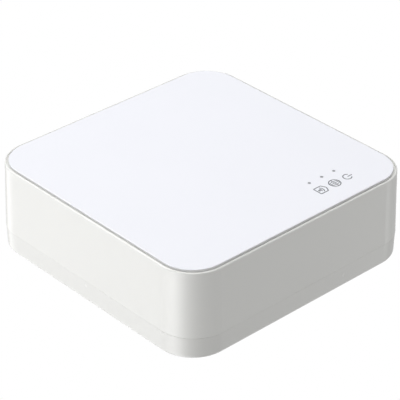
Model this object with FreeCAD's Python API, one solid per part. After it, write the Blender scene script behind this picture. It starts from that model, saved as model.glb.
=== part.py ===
import FreeCAD, Part
import math
import os

V = FreeCAD.Vector
UP = V(0, 0, 1)
RIGHT = V(1, 0, 0)
BACK = V(0, 1, 0)

# A smart home hub. Millimetres, Z up, the table at Z = 0, the front towards -Y.

# Outside of the case
case_width = 120.0
case_depth = 120.0
tray_height = 9.4
cover_height = 28.55
foot_projection = 1.0
corner_radius = 16.2
cover_draft = 1.7
tray_draft = 1.4
rim_fillet = 0.58
tray_edge_fillet = 1.4
seam_step = 0.12
seam_gap = 0.15

# Walls of the case
cover_wall = 2.2
roof_thickness = 2.0
tray_wall = 2.2
tray_floor = 2.0
lap_wall = 1.1
lap_height = 1.5
lap_gap = 0.1

# Top plate, which lies in a recess of the roof with a shadow gap round it
rim_width = 0.65
shadow_gap = 0.9
plate_thickness = 1.0
plate_proud = 0.6
plate_edge_fillet = 0.2
tape_thickness = 0.15
tape_inset = 1.5

# Light points, placed from the right side and the back of the case
light_from_right = 20.0
light_from_back = 32.8
light_pitch = 6.75
light_count = 3
light_tip_radius = 0.6
light_tip_gap = 0.1
light_post_radius = 1.4
light_bar_thickness = 1.6
light_bar_overhang = 6.0
light_bar_width = 5.0
light_bar_corner = 2.0
light_peg_radius = 0.9
light_peg_gap = 0.1
light_peg_reach = 0.6
light_over_led = 1.0

# Indicator lights on the board and the black baffle round them
led_length = 2.0
led_width = 1.25
led_height = 0.8
baffle_height = 4.2
baffle_margin = 2.6
baffle_corner = 1.3
baffle_gap = 0.3

# Corner screws, their bosses and the feet that cover them
corner_inset = 12.5
boss_radius = 3.7
boss_rib_thickness = 1.2
boss_rib_drop = 8.0
pillar_radius = 4.4
pillar_height = 4.0
case_screw_radius = 1.45
case_screw_length = 10.0
case_screw_head_radius = 2.8
case_screw_head_height = 2.0
screw_hole_gap = 0.25
pilot_gap = 0.05
head_gap = 0.3
foot_radius = 5.5
foot_recess = 0.8
foot_gap = 0.15
foot_fillet = 0.4
driver_reach_share = 0.6
driver_slot_share = 0.25

# Underside: air slots, wall slots and the label
vent_count = 9
vent_pitch = 5.0
vent_width = 2.0
vent_length = 26.0
vent_middle_y = 12.0
hang_spacing = 76.0
hang_entry_radius = 4.2
hang_slot_width = 4.4
hang_travel = 7.0
hang_y = 0.0
label_width = 56.0
label_depth = 24.0
label_thickness = 0.25
label_recess = 0.3
label_gap = 0.3
label_corner = 2.0
label_from_front = 28.0

# Main board and how it is held
board_thickness = 1.6
board_above_seam = 0.4
board_side_gap = 5.2
board_front_gap = 6.0
board_rear_gap = 2.6
board_corner_gap = 0.9
board_hole_inset_x = 6.5
board_hole_front_inset = 15.0
board_hole_rear_inset = 27.0
standoff_radius = 3.0
board_screw_radius = 1.2
board_screw_length = 6.0
board_screw_head_radius = 2.3
board_screw_head_height = 1.5

# Processor with its thermal pad, heat sink and push pins
processor_size = 17.0
processor_height = 1.6
processor_lid_size = 14.0
processor_lid_corner = 1.0
processor_carrier_height = 0.6
processor_x = -4.0
processor_y = -4.0
thermal_pad_thickness = 1.0
thermal_pad_size = 13.0
sink_size = 28.0
sink_base = 2.0
sink_fin_height = 8.0
sink_fin_thickness = 1.2
sink_fin_count = 8
sink_pin_inset = 3.0
sink_pin_radius = 1.15
sink_pin_gap = 0.15
sink_pin_head_radius = 2.3
sink_pin_head_height = 1.2
sink_pin_barb_radius = 1.7
sink_pin_barb_length = 2.4
sink_pin_tip_radius = 0.7
sink_pin_clearing = 12.0

# Memory, flash, network transformer and other chips
memory_width = 9.0
memory_length = 13.0
memory_height = 1.1
memory_x = 2.0
memory_gap = 5.0
flash_width = 5.2
flash_length = 5.3
flash_height = 1.9
flash_gap = 5.0
transformer_width = 7.2
transformer_length = 12.8
transformer_height = 3.2
transformer_gap = 2.4
regulator_width = 4.0
regulator_length = 5.0
regulator_height = 1.5
regulator_gap = 5.2
regulator_pitch = 9.0
lead_thickness = 0.2
lead_width = 0.4
lead_reach = 1.1
lead_foot = 0.6
lead_stand_off = 0.15
lead_pitch = 1.27
chip_bevel = 0.2

# Power inductors, filter capacitors and clock crystals
inductor_size = 6.6
inductor_height = 3.0
inductor_corner = 1.6
inductor_core_radius = 2.2
inductor_rim = 0.3
inductor_gap = 6.4
inductor_pitch = 9.0
capacitor_radius = 3.15
capacitor_height = 7.7
capacitor_base = 6.6
capacitor_base_height = 1.0
capacitor_base_corner = 0.6
capacitor_groove = 0.35
capacitor_groove_height = 2.4
capacitor_count = 3
capacitor_pitch = 8.0
capacitor_from_light = 9.6
capacitor_y = 2.0
crystal_length = 11.0
crystal_width = 4.6
crystal_height = 3.5
crystal_flange = 0.4
crystal_flange_height = 0.6
crystal_from_left = 14.5
crystal_y = 12.0
crystal_count = 2
crystal_pitch = 9.0

# Small chip parts in rows beside the memory and the heat sink
chip_length = 1.6
chip_width = 0.8
chip_height = 0.5
chip_pitch = 2.2
chip_row_count = 6
chip_row_gap = 2.4
chip_row_pitch = 3.0

# Shielded wireless network radio
shield_length = 26.0
shield_width = 20.0
shield_height = 3.0
shield_wall = 0.3
shield_lid_skirt = 1.8
shield_lid_gap = 0.06
shield_vent_radius = 0.7
shield_vent_pitch = 4.0
shield_from_left = 10.0
shield_y = -29.0
radio_chip_size = 7.0
radio_chip_height = 0.9

# Shielded mesh radio on its own small board
module_width = 18.0
module_length = 25.0
module_board_thickness = 0.8
module_shield_length = 17.0
module_shield_height = 2.2
module_shield_inset = 1.0
module_pad_count = 15
module_pad_radius = 0.4
module_from_right = 9.5
module_y = -24.0

# Antennas, which stand in clips on the tray, and their leads
antenna_thickness = 0.8
antenna_length = 34.0
antenna_height = 20.0
antenna_middle_y = 2.0
antenna_from_wall = 3.0
antenna_lift = 1.0
clip_width = 4.0
clip_height = 7.0
clip_wall = 1.1
clip_gap = 0.1
clip_inset = 4.0
lead_radius = 0.55
lead_bend = 6.0
lead_rise = 1.9
lead_solder_reach = 3.0
socket_size = 2.6
socket_height = 0.6
socket_ring_radius = 0.75
socket_gap = 5.2
socket_inset = 2.6
plug_radius = 1.5
plug_height = 1.9
plug_neck_length = 1.6
plug_neck_radius = 0.72

# Network socket
port_setback = 0.9
port_gap = 0.35
network_x = -18.0
network_width = 15.9
network_depth = 21.3
network_height = 13.4
network_jacket = 0.3
network_jacket_gap = 0.05
network_mouth_width = 11.8
network_mouth_height = 6.8
network_mouth_floor = 2.0
network_mouth_depth = 13.5
latch_width = 6.2
latch_height = 1.5
latch_neck_width = 3.3
latch_neck_height = 1.1
contact_count = 8
contact_pitch = 1.02
contact_width = 0.4
contact_thickness = 0.3
contact_rise = 2.0
contact_start = 2.0
contact_length = 7.8
contact_foot_length = 1.2
contact_tip_length = 1.1
status_light_width = 3.0
status_light_height = 2.4
status_light_depth = 5.0
network_peg_radius = 1.6
network_peg_length = 3.0
network_peg_spread = 11.4
network_peg_setback = 9.0
jacket_tab_width = 1.6
jacket_tab_length = 3.2
jacket_tab_setback = 13.0
peg_hole_gap = 0.15

# Power socket
power_x = 22.0
power_width = 9.0
power_depth = 14.4
power_height = 11.0
power_bore_radius = 3.2
power_bore_depth = 9.6
power_axis_height = 6.4
power_pin_radius = 1.0
power_pin_setback = 0.9
power_spring_width = 2.4
power_spring_thickness = 0.3
power_spring_slot = 1.1
power_spring_foot = 1.2
power_spring_hump = 4.4
power_spring_gap = 0.15

# Reset button at the back and the switch behind it
reset_x = 4.0
reset_height = 5.3
reset_travel = 0.5
reset_cap_radius = 2.0
reset_cap_setback = 0.5
reset_cap_gap = 0.15
reset_cap_fillet = 0.3
reset_collar_radius = 3.8
reset_collar_length = 1.2
reset_flange_radius = 3.2
reset_flange_thickness = 1.0
reset_flange_gap = 0.1
reset_stem_radius = 1.3
reset_stem_length = 1.2
switch_width = 6.4
switch_depth = 4.0
switch_height = 8.2
switch_plunger_radius = 1.5
switch_plunger_reach = 1.4
switch_bore_depth = 2.2
switch_bore_gap = 0.1
switch_stop_gap = 0.15

# How far a cutting solid runs past a face, and the most of a wall that a fillet may take
past = 1.0
fillet_share = 0.9

# Heights above the table that follow from the sizes above
tray_bottom = foot_projection
floor_top = tray_bottom + tray_floor
seam = tray_bottom + tray_height
rim_top = seam + cover_height
recess_floor = rim_top + plate_proud - plate_thickness - tape_thickness
roof_under = recess_floor - roof_thickness
plate_top = rim_top + plate_proud
board_top = seam + board_above_seam
board_under = board_top - board_thickness
pillar_top = floor_top + pillar_height
screw_seat = tray_bottom + foot_recess + case_screw_head_height + head_gap

# Plan places that follow from the sizes above
half_x = case_width / 2
half_y = case_depth / 2
corner_x = half_x - corner_inset
corner_y = half_y - corner_inset
tray_inner_x = half_x - seam_step - tray_wall
tray_inner_y = half_y - seam_step - tray_wall
board_x = tray_inner_x - board_side_gap
board_front = -(tray_inner_y - board_front_gap)
board_rear = tray_inner_y - board_rear_gap
board_hole_x = board_x - board_hole_inset_x
board_hole_ys = [board_front + board_hole_front_inset, board_rear - board_hole_rear_inset]
light_x = half_x - light_from_right
light_middle_y = half_y - light_from_back
light_row_half = light_pitch * (light_count - 1) / 2
light_ys = [light_middle_y - light_row_half + light_pitch * i for i in range(light_count)]
light_bar_half = light_row_half + light_bar_overhang
port_face = half_y - port_setback
label_y = label_from_front - half_y
memory_y = processor_y - sink_size / 2 - memory_gap - memory_width / 2
flash_y = memory_y - memory_width / 2 - flash_gap - flash_length / 2
transformer_y = port_face - network_depth - transformer_gap - transformer_length / 2
inductor_y = port_face - power_depth - inductor_gap - inductor_size / 2
regulator_y = inductor_y - inductor_size / 2 - regulator_gap - regulator_length / 2
capacitor_x = light_x - capacitor_from_light
crystal_x = -board_x + crystal_from_left
shield_x = -board_x + shield_from_left + shield_length / 2
module_x = board_x - module_from_right - module_width / 2
reset_z = board_top + reset_height
corners = [(sx * corner_x, sy * corner_y) for sx in (-1, 1) for sy in (-1, 1)]
board_holes = [(sx * board_hole_x, y) for sx in (-1, 1) for y in board_hole_ys]
sink_pin_offset = sink_size / 2 - sink_pin_inset
sink_pins = [(processor_x + d, processor_y - d) for d in (-sink_pin_offset, sink_pin_offset)]
antenna_x = tray_inner_x - antenna_from_wall


# Basic solids
def block(x0, x1, y0, y1, z0, z1):
    return Part.makeBox(x1 - x0, y1 - y0, z1 - z0, V(x0, y0, z0))


def centred_block(x, y, width, depth, z0, z1):
    return block(x - width / 2, x + width / 2, y - depth / 2, y + depth / 2, z0, z1)


def post(x, y, z0, z1, radius):
    return Part.makeCylinder(radius, z1 - z0, V(x, y, z0), UP)


def rod_back(x, z, y0, y1, radius):
    """A round rod along Y."""
    return Part.makeCylinder(radius, y1 - y0, V(x, y0, z), BACK)


def outline(reach_x, reach_y, radius, z, x=0.0, y=0.0):
    """A closed rectangle with round corners, flat at height z."""
    edges = []
    ends = []
    for quarter, (sx, sy) in enumerate([(1, 1), (-1, 1), (-1, -1), (1, -1)]):
        centre = V(x + sx * (reach_x - radius), y + sy * (reach_y - radius), z)
        angles = [math.radians(90 * quarter + turn) for turn in (0, 45, 90)]
        points = [centre + V(math.cos(a), math.sin(a), 0) * radius for a in angles]
        edges.append(Part.Arc(*points).toShape())
        ends.append((points[0], points[2]))
    for i in range(4):
        start = ends[i][1]
        finish = ends[(i + 1) % 4][0]
        edges.insert(2 * i + 1, Part.LineSegment(start, finish).toShape())
    return Part.Wire(edges)


def rounded_block(reach_x, reach_y, radius, z0, z1, x=0.0, y=0.0):
    return Part.Face(outline(reach_x, reach_y, radius, z0, x, y)).extrude(UP * (z1 - z0))


def oval_block(x, y, width, length, z0, z1):
    """An upright block with half-round ends, its length along Y."""
    radius = width / 2
    end = length / 2 - radius
    middle = centred_block(x, y, width, 2 * end, z0, z1)
    return fuse_all([middle, post(x, y - end, z0, z1, radius), post(x, y + end, z0, z1, radius)])


def side_profile(points, x0, x1):
    """A solid with the given outline of (y, z) points, running from x0 to x1."""
    corners_3d = [V(x0, y, z) for y, z in points]
    face = Part.Face(Part.makePolygon(corners_3d + corners_3d[:1]))
    return face.extrude(V(x1 - x0, 0, 0))


def fuse_all(shapes):
    first = shapes[0]
    return first.multiFuse(shapes[1:]).removeSplitter()


def cut_all(body, tools):
    for tool in tools:
        body = body.cut(tool)
    return body


def group(shapes):
    return Part.makeCompound(shapes)


def flat_edges(shape, z):
    """The edges that lie flat at height z."""
    return [e for e in shape.Edges if abs(e.BoundBox.ZMin - z) < 1e-4 and abs(e.BoundBox.ZMax - z) < 1e-4]


# The two moulded halves of the case
def cover_inset(z):
    """How far the cover's side has leaned in at height z."""
    return (z - seam) * math.tan(math.radians(cover_draft))


def cover_skin(z, depth=0.0):
    """The cover's outline at height z, a given depth inside its outer side."""
    inset = cover_inset(z) + depth
    return outline(half_x - inset, half_y - inset, corner_radius - inset, z)


def case_mouths(z0, clearance):
    """The spaces that the two sockets take through the back of the case."""
    mouths = []
    network = (network_x, network_width, network_height)
    power = (power_x, power_width, power_height)
    for x, width, height in [network, power]:
        reach = width / 2 + clearance
        top = board_top + height + clearance
        mouths.append(block(x - reach, x + reach, board_rear, half_y + cover_wall, z0, top))
    return mouths


def upper_cover():
    """Glossy moulded cover: a five-sided box, open below, with a recess in its roof for the top plate."""
    body = Part.makeLoft([cover_skin(seam + seam_gap), cover_skin(rim_top)], True, True)
    body = body.makeFillet(min(rim_fillet, rim_width * fillet_share), flat_edges(body, rim_top))
    hollow = [cover_skin(seam, cover_wall), cover_skin(roof_under, cover_wall)]
    body = body.cut(Part.makeLoft(hollow, True, True))
    lap_top = seam + lap_height + lap_gap
    lap = [cover_skin(seam, lap_wall), cover_skin(lap_top, lap_wall)]
    body = body.cut(Part.makeLoft(lap, True, True))
    recess = cover_inset(rim_top) + rim_width
    recess_radius = corner_radius - recess
    reach_x = half_x - recess
    reach_y = half_y - recess
    body = body.cut(rounded_block(reach_x, reach_y, recess_radius, recess_floor, rim_top + past))
    wall_middle_x = half_x - cover_inset(rim_top) - cover_wall / 2
    wall_middle_y = half_y - cover_inset(rim_top) - cover_wall / 2
    added = []
    for x, y in corners:
        rib_low = pillar_top + boss_rib_drop
        half_rib = boss_rib_thickness / 2
        near_x, far_x = sorted([x, math.copysign(wall_middle_x, x)])
        near_y, far_y = sorted([y, math.copysign(wall_middle_y, y)])
        added.append(post(x, y, pillar_top, roof_under, boss_radius))
        added.append(block(near_x, far_x, y - half_rib, y + half_rib, rib_low, roof_under))
        added.append(block(x - half_rib, x + half_rib, near_y, far_y, rib_low, roof_under))
    collar_end = half_y - cover_inset(reset_z) - cover_wall / 2
    added.append(rod_back(reset_x, reset_z, reset_collar_back(), collar_end, reset_collar_radius))
    peg_end = roof_under - light_bar_thickness - light_peg_reach
    added += [post(light_x, y, peg_end, roof_under, light_peg_radius) for y in light_peg_ys()]
    body = fuse_all([body] + added)
    pilot_end = screw_seat + case_screw_length + past
    pilots = [post(x, y, pillar_top, pilot_end, case_screw_radius + pilot_gap) for x, y in corners]
    tips = [post(light_x, y, roof_under, rim_top, light_tip_radius + light_tip_gap) for y in light_ys]
    hole_radius = reset_cap_radius + reset_cap_gap
    reset_hole = rod_back(reset_x, reset_z, reset_collar_back(), half_y + past, hole_radius)
    return cut_all(body, pilots + tips + case_mouths(seam, port_gap) + [reset_hole])


def base_tray():
    """Shallow moulded tray that closes the case from below and carries the board."""
    low_inset = seam_step + tray_height * math.tan(math.radians(tray_draft))
    low = outline(half_x - low_inset, half_y - low_inset, corner_radius - low_inset, tray_bottom)
    high = outline(half_x - seam_step, half_y - seam_step, corner_radius - seam_step, seam)
    body = Part.makeLoft([low, high], True, True)
    body = body.makeFillet(min(tray_edge_fillet, tray_floor * fillet_share), flat_edges(body, tray_bottom))
    lap_inset = lap_wall + lap_gap + cover_inset(seam + lap_height)
    lap_radius = corner_radius - lap_inset
    lap_top = seam + lap_height
    lap = rounded_block(half_x - lap_inset, half_y - lap_inset, lap_radius, floor_top, lap_top)
    inner_radius = corner_radius - seam_step - tray_wall
    hollow = rounded_block(tray_inner_x, tray_inner_y, inner_radius, floor_top, lap_top + past)
    body = body.fuse(lap).cut(hollow)
    added = [post(x, y, floor_top, pillar_top, pillar_radius) for x, y in corners]
    added += [post(x, y, floor_top, board_under, standoff_radius) for x, y in board_holes]
    added += antenna_clips()
    body = fuse_all([body] + added)
    cuts = case_mouths(seam, port_gap)
    for x, y in corners:
        cuts.append(post(x, y, tray_bottom - past, tray_bottom + foot_recess, foot_radius + foot_gap))
        cuts.append(post(x, y, tray_bottom, screw_seat, case_screw_head_radius + head_gap))
        cuts.append(post(x, y, screw_seat, pillar_top, case_screw_radius + screw_hole_gap))
    pilot_end = max(board_top - board_screw_length - past, floor_top)
    for x, y in board_holes:
        cuts.append(post(x, y, pilot_end, board_under, board_screw_radius + pilot_gap))
    below = tray_bottom - past
    above = floor_top + past
    for i in range(vent_count):
        x = vent_pitch * (i - (vent_count - 1) / 2)
        cuts.append(oval_block(x, vent_middle_y, vent_width, vent_length, below, above))
    for side in (-1, 1):
        x = side * hang_spacing / 2
        slot_length = hang_travel + hang_slot_width
        slot_y = hang_y + hang_travel / 2
        cuts.append(post(x, hang_y, below, above, hang_entry_radius))
        cuts.append(oval_block(x, slot_y, hang_slot_width, slot_length, below, above))
    reach_x = label_width / 2 + label_gap
    reach_y = label_depth / 2 + label_gap
    corner = label_corner + label_gap
    cuts.append(rounded_block(reach_x, reach_y, corner, below, tray_bottom + label_recess, 0, label_y))
    return cut_all(body, cuts)


def antenna_clips():
    """Slotted posts on the tray's floor, two for each antenna board."""
    clips = []
    slot = antenna_thickness + 2 * clip_gap
    outside = slot + 2 * clip_wall
    top = floor_top + clip_height
    for side in (-1, 1):
        for y in antenna_clip_ys():
            x = side * antenna_x
            outer = centred_block(x, y, outside, clip_width, floor_top, top)
            gap = centred_block(x, y, slot, clip_width, floor_top + antenna_lift, top)
            clips.append(outer.cut(gap))
    return clips


def antenna_clip_ys():
    reach = antenna_length / 2 - clip_inset
    return [antenna_middle_y - reach, antenna_middle_y + reach]


# Top plate, its adhesive sheet, the feet and the label
def plate_reach():
    return cover_inset(rim_top) + rim_width + shadow_gap


def top_plate():
    """Satin plate with three small windows for the lights."""
    inset = plate_reach()
    low = recess_floor + tape_thickness
    body = rounded_block(half_x - inset, half_y - inset, corner_radius - inset, low, plate_top)
    body = body.makeFillet(min(plate_edge_fillet, plate_thickness / 2), flat_edges(body, plate_top))
    window = light_tip_radius + light_tip_gap
    return cut_all(body, [post(light_x, y, low, plate_top, window) for y in light_ys])


def plate_tape():
    """Die-cut adhesive sheet that bonds the plate to the roof."""
    inset = plate_reach() + tape_inset
    top = recess_floor + tape_thickness
    body = rounded_block(half_x - inset, half_y - inset, corner_radius - inset, recess_floor, top)
    hole = light_tip_radius + tape_inset / 2
    return cut_all(body, [post(light_x, y, recess_floor, top, hole) for y in light_ys])


def rubber_feet():
    feet = []
    fillet = min(foot_fillet, foot_projection * fillet_share)
    for x, y in corners:
        foot = post(x, y, 0, tray_bottom + foot_recess, foot_radius)
        feet.append(foot.makeFillet(fillet, flat_edges(foot, 0)))
    return group(feet)


def blank_label():
    top = tray_bottom + label_recess
    low = top - label_thickness
    return rounded_block(label_width / 2, label_depth / 2, label_corner, low, top, 0, label_y)


# Screws
def cross_recess(x, y, z0, z1, head_radius):
    """A cross-shaped recess for a driver in a screw's head."""
    length = 2 * head_radius * driver_reach_share
    width = head_radius * driver_slot_share
    return centred_block(x, y, length, width, z0, z1).fuse(centred_block(x, y, width, length, z0, z1))


def case_screws():
    """Screws that go up through the tray into the cover's bosses."""
    screws = []
    head_low = screw_seat - case_screw_head_height
    recess_top = head_low + case_screw_head_height / 2
    for x, y in corners:
        head = post(x, y, head_low, screw_seat, case_screw_head_radius)
        shank = post(x, y, screw_seat, screw_seat + case_screw_length, case_screw_radius)
        recess = cross_recess(x, y, head_low, recess_top, case_screw_head_radius)
        screws.append(head.fuse(shank).removeSplitter().cut(recess))
    return group(screws)


def board_screws():
    """Screws that hold the board down on the tray's standoffs."""
    screws = []
    head_top = board_top + board_screw_head_height
    recess_low = head_top - board_screw_head_height / 2
    for x, y in board_holes:
        head = post(x, y, board_top, head_top, board_screw_head_radius)
        shank = post(x, y, board_top - board_screw_length, board_top, board_screw_radius)
        recess = cross_recess(x, y, recess_low, head_top, board_screw_head_radius)
        screws.append(head.fuse(shank).removeSplitter().cut(recess))
    return group(screws)


# Lights
def light_peg_ys():
    reach = light_bar_half - light_bar_width / 2
    return [light_middle_y - reach, light_middle_y + reach]


def light_guide():
    """Clear moulding that carries the light of each lamp up to its point in the top plate."""
    bar_low = roof_under - light_bar_thickness
    reach_x = light_bar_width / 2
    body = rounded_block(
        reach_x, light_bar_half, light_bar_corner, bar_low, roof_under, light_x, light_middle_y
    )
    post_low = board_top + led_height + light_over_led
    posts = [post(light_x, y, post_low, bar_low, light_post_radius) for y in light_ys]
    tips = [post(light_x, y, roof_under, plate_top, light_tip_radius) for y in light_ys]
    body = fuse_all([body] + posts + tips)
    hole = light_peg_radius + light_peg_gap
    return cut_all(body, [post(light_x, y, bar_low, roof_under, hole) for y in light_peg_ys()])


def light_baffle():
    """Black rubber block that keeps the light of one lamp out of the next guide post."""
    reach_y = light_row_half + light_post_radius + baffle_margin
    reach_x = light_post_radius + baffle_margin / 2
    top = board_top + baffle_height
    body = rounded_block(reach_x, reach_y, baffle_corner, board_top, top, light_x, light_middle_y)
    bore = light_post_radius + baffle_gap
    return cut_all(body, [post(light_x, y, board_top, top, bore) for y in light_ys])


def indicator_leds():
    top = board_top + led_height
    return group([centred_block(light_x, y, led_length, led_width, board_top, top) for y in light_ys])


# Main board
def main_board():
    """Circuit board with its corners cut away round the case screws."""
    body = block(-board_x, board_x, board_front, board_rear, board_under, board_top)
    notch = boss_radius + board_corner_gap
    cuts = []
    for x, y in corners:
        far_x = math.copysign(half_x, x)
        far_y = math.copysign(half_y, y)
        near_x = x - math.copysign(notch, x)
        near_y = y - math.copysign(notch, y)
        low_x, high_x = sorted([near_x, far_x])
        low_y, high_y = sorted([near_y, far_y])
        cuts.append(block(low_x, high_x, low_y, high_y, board_under, board_top))
    screw_hole = board_screw_radius + screw_hole_gap
    pin_hole = sink_pin_radius + sink_pin_gap
    cuts += [post(x, y, board_under, board_top, screw_hole) for x, y in board_holes]
    cuts += [post(x, y, board_under, board_top, pin_hole) for x, y in sink_pins]
    cuts += network_pegs(board_under, board_top, peg_hole_gap)
    cuts += jacket_tabs(board_under, board_top, peg_hole_gap)
    return cut_all(body, cuts)


def processor():
    """Chip with a raised lid on its carrier."""
    lid = processor_lid_size / 2
    side = processor_size
    carrier_top = board_top + processor_carrier_height
    carrier = centred_block(processor_x, processor_y, side, side, board_top, carrier_top)
    top = board_top + processor_height
    raised = rounded_block(lid, lid, processor_lid_corner, carrier_top, top, processor_x, processor_y)
    return carrier.fuse(raised).removeSplitter()


def thermal_pad():
    low = board_top + processor_height
    side = thermal_pad_size
    return centred_block(processor_x, processor_y, side, side, low, low + thermal_pad_thickness)


def sink_under():
    return board_top + processor_height + thermal_pad_thickness


def heat_sink():
    """Extruded aluminium fins on a plate, with two corners cleared for the push pins."""
    low = sink_under()
    base_top = low + sink_base
    top = base_top + sink_fin_height
    parts = [centred_block(processor_x, processor_y, sink_size, sink_size, low, base_top)]
    first = processor_x - sink_size / 2 + sink_fin_thickness / 2
    step = (sink_size - sink_fin_thickness) / (sink_fin_count - 1)
    for i in range(sink_fin_count):
        x = first + i * step
        parts.append(centred_block(x, processor_y, sink_fin_thickness, sink_size, base_top, top))
    body = fuse_all(parts)
    cuts = []
    for x, y in sink_pins:
        cuts.append(post(x, y, low, base_top, sink_pin_radius + sink_pin_gap))
        cuts.append(centred_block(x, y, sink_pin_clearing, sink_pin_clearing, base_top, top))
    return cut_all(body, cuts)


def heat_sink_pins():
    """Nylon push pins with a barb under the board."""
    pins = []
    head_low = sink_under() + sink_base
    for x, y in sink_pins:
        head = post(x, y, head_low, head_low + sink_pin_head_height, sink_pin_head_radius)
        shaft = post(x, y, board_under, head_low, sink_pin_radius)
        tip = V(x, y, board_under - sink_pin_barb_length)
        barb = Part.makeCone(sink_pin_tip_radius, sink_pin_barb_radius, sink_pin_barb_length, tip, UP)
        pins.append(fuse_all([head, shaft, barb]))
    return group(pins)


def leaded_chip(x, y, width, length, height):
    """Moulded chip with bent leads along its two long sides, which run along Y."""
    low = board_top + lead_stand_off
    top = board_top + height
    body = centred_block(x, y, width, length, low, top)
    body = body.makeChamfer(chip_bevel, flat_edges(body, top))
    middle = (low + top) / 2
    count = int((length - lead_width) / lead_pitch)
    parts = [body]
    for i in range(count):
        lead_y = y + lead_pitch * (i - (count - 1) / 2)
        for side in (-1, 1):
            root = x + side * (width / 2 - lead_thickness)
            knee = x + side * (width / 2 + lead_reach - lead_foot)
            toe = x + side * (width / 2 + lead_reach)
            half = lead_width / 2
            y0 = lead_y - half
            y1 = lead_y + half
            knee_out = knee + side * lead_thickness
            parts.append(block(*sorted([root, knee_out]), y0, y1, middle, middle + lead_thickness))
            parts.append(block(*sorted([knee, knee_out]), y0, y1, board_top, middle + lead_thickness))
            parts.append(block(*sorted([knee, toe]), y0, y1, board_top, board_top + lead_thickness))
    return fuse_all(parts)


def memory_chip():
    top = board_top + memory_height
    body = centred_block(memory_x, memory_y, memory_length, memory_width, board_top, top)
    return body.makeChamfer(chip_bevel, flat_edges(body, top))


def flash_chip():
    return leaded_chip(memory_x, flash_y, flash_width, flash_length, flash_height)


def network_transformer():
    width = transformer_width
    return leaded_chip(network_x, transformer_y, width, transformer_length, transformer_height)


def power_row_xs(pitch):
    return [power_x - pitch / 2, power_x + pitch / 2]


def power_regulators():
    chips = []
    for x in power_row_xs(regulator_pitch):
        chips.append(leaded_chip(x, regulator_y, regulator_width, regulator_length, regulator_height))
    return group(chips)


def power_inductors():
    """Shielded coils: a square ferrite body with a round core in its top."""
    coils = []
    for x in power_row_xs(inductor_pitch):
        reach = inductor_size / 2
        top = board_top + inductor_height
        body = rounded_block(reach, reach, inductor_corner, board_top, top, x, inductor_y)
        ring = post(x, inductor_y, top - inductor_rim, top, inductor_core_radius + inductor_rim)
        core = post(x, inductor_y, top - inductor_rim, top, inductor_core_radius)
        coils.append(body.cut(ring.cut(core)))
    return group(coils)


def filter_capacitors():
    """Electrolytic cans with a rolled groove, each on its square base."""
    cans = []
    for i in range(capacitor_count):
        y = capacitor_y + capacitor_pitch * (i - (capacitor_count - 1) / 2)
        base_top = board_top + capacitor_base_height
        top = board_top + capacitor_height
        reach = capacitor_base / 2
        base = rounded_block(reach, reach, capacitor_base_corner, board_top, base_top, capacitor_x, y)
        can = post(capacitor_x, y, base_top, top, capacitor_radius)
        can = can.makeFillet(capacitor_groove, flat_edges(can, top))
        ring = V(capacitor_x, y, board_top + capacitor_groove_height)
        can = can.cut(Part.makeTorus(capacitor_radius, capacitor_groove, ring, UP))
        cans.append(base.fuse(can))
    return group(cans)


def clock_crystals():
    """Flat oval metal cans lying along Y."""
    cans = []
    flange_top = board_top + crystal_flange_height
    top = board_top + crystal_height
    flange_width = crystal_width + 2 * crystal_flange
    flange_length = crystal_length + 2 * crystal_flange
    for i in range(crystal_count):
        x = crystal_x + crystal_pitch * i
        flange = oval_block(x, crystal_y, flange_width, flange_length, board_top, flange_top)
        can = oval_block(x, crystal_y, crystal_width, crystal_length, flange_top, top)
        can = can.makeFillet(crystal_flange, flat_edges(can, top))
        cans.append(flange.fuse(can))
    return group(cans)


def chip_rows(middles):
    """Rows of small chip parts along Y, one row about each given point."""
    chips = []
    top = board_top + chip_height
    for x, middle_y in middles:
        for i in range(chip_row_count):
            y = middle_y + chip_pitch * (i - (chip_row_count - 1) / 2)
            chips.append(centred_block(x, y, chip_length, chip_width, board_top, top))
    return group(chips)


def chip_resistors():
    """Two rows to the right of the memory chip and one to its left."""
    reach = memory_length / 2 + chip_row_gap
    row_xs = [memory_x - reach, memory_x + reach, memory_x + reach + chip_row_pitch]
    return chip_rows([(x, memory_y) for x in row_xs])


def chip_capacitors():
    """Two rows to the right of the heat sink and one to its left."""
    reach = sink_size / 2 + chip_row_gap
    row_xs = [processor_x - reach, processor_x + reach, processor_x + reach + chip_row_pitch]
    return chip_rows([(x, processor_y) for x in row_xs])


# Radios
def shield_frame():
    """Soldered metal fence round the wireless network chip."""
    top = board_top + shield_height
    outer = centred_block(shield_x, shield_y, shield_length, shield_width, board_top, top)
    inner_length = shield_length - 2 * shield_wall
    inner_width = shield_width - 2 * shield_wall
    return outer.cut(centred_block(shield_x, shield_y, inner_length, inner_width, board_top, top))


def shield_lid():
    """Snap-on metal lid with round vents."""
    under = board_top + shield_height
    skirt = 2 * (shield_lid_gap + shield_wall)
    outer = centred_block(
        shield_x,
        shield_y,
        shield_length + skirt,
        shield_width + skirt,
        under - shield_lid_skirt,
        under + shield_wall,
    )
    slack = 2 * shield_lid_gap
    inner = centred_block(
        shield_x, shield_y, shield_length + slack, shield_width + slack, under - shield_lid_skirt, under
    )
    body = outer.cut(inner)
    columns = int(shield_length / shield_vent_pitch) - 1
    rows = int(shield_width / shield_vent_pitch) - 1
    for i in range(columns):
        for j in range(rows):
            x = shield_x + shield_vent_pitch * (i - (columns - 1) / 2)
            y = shield_y + shield_vent_pitch * (j - (rows - 1) / 2)
            body = body.cut(post(x, y, under, under + shield_wall, shield_vent_radius))
    return body


def radio_chip():
    side = radio_chip_size
    return centred_block(shield_x, shield_y, side, side, board_top, board_top + radio_chip_height)


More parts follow.
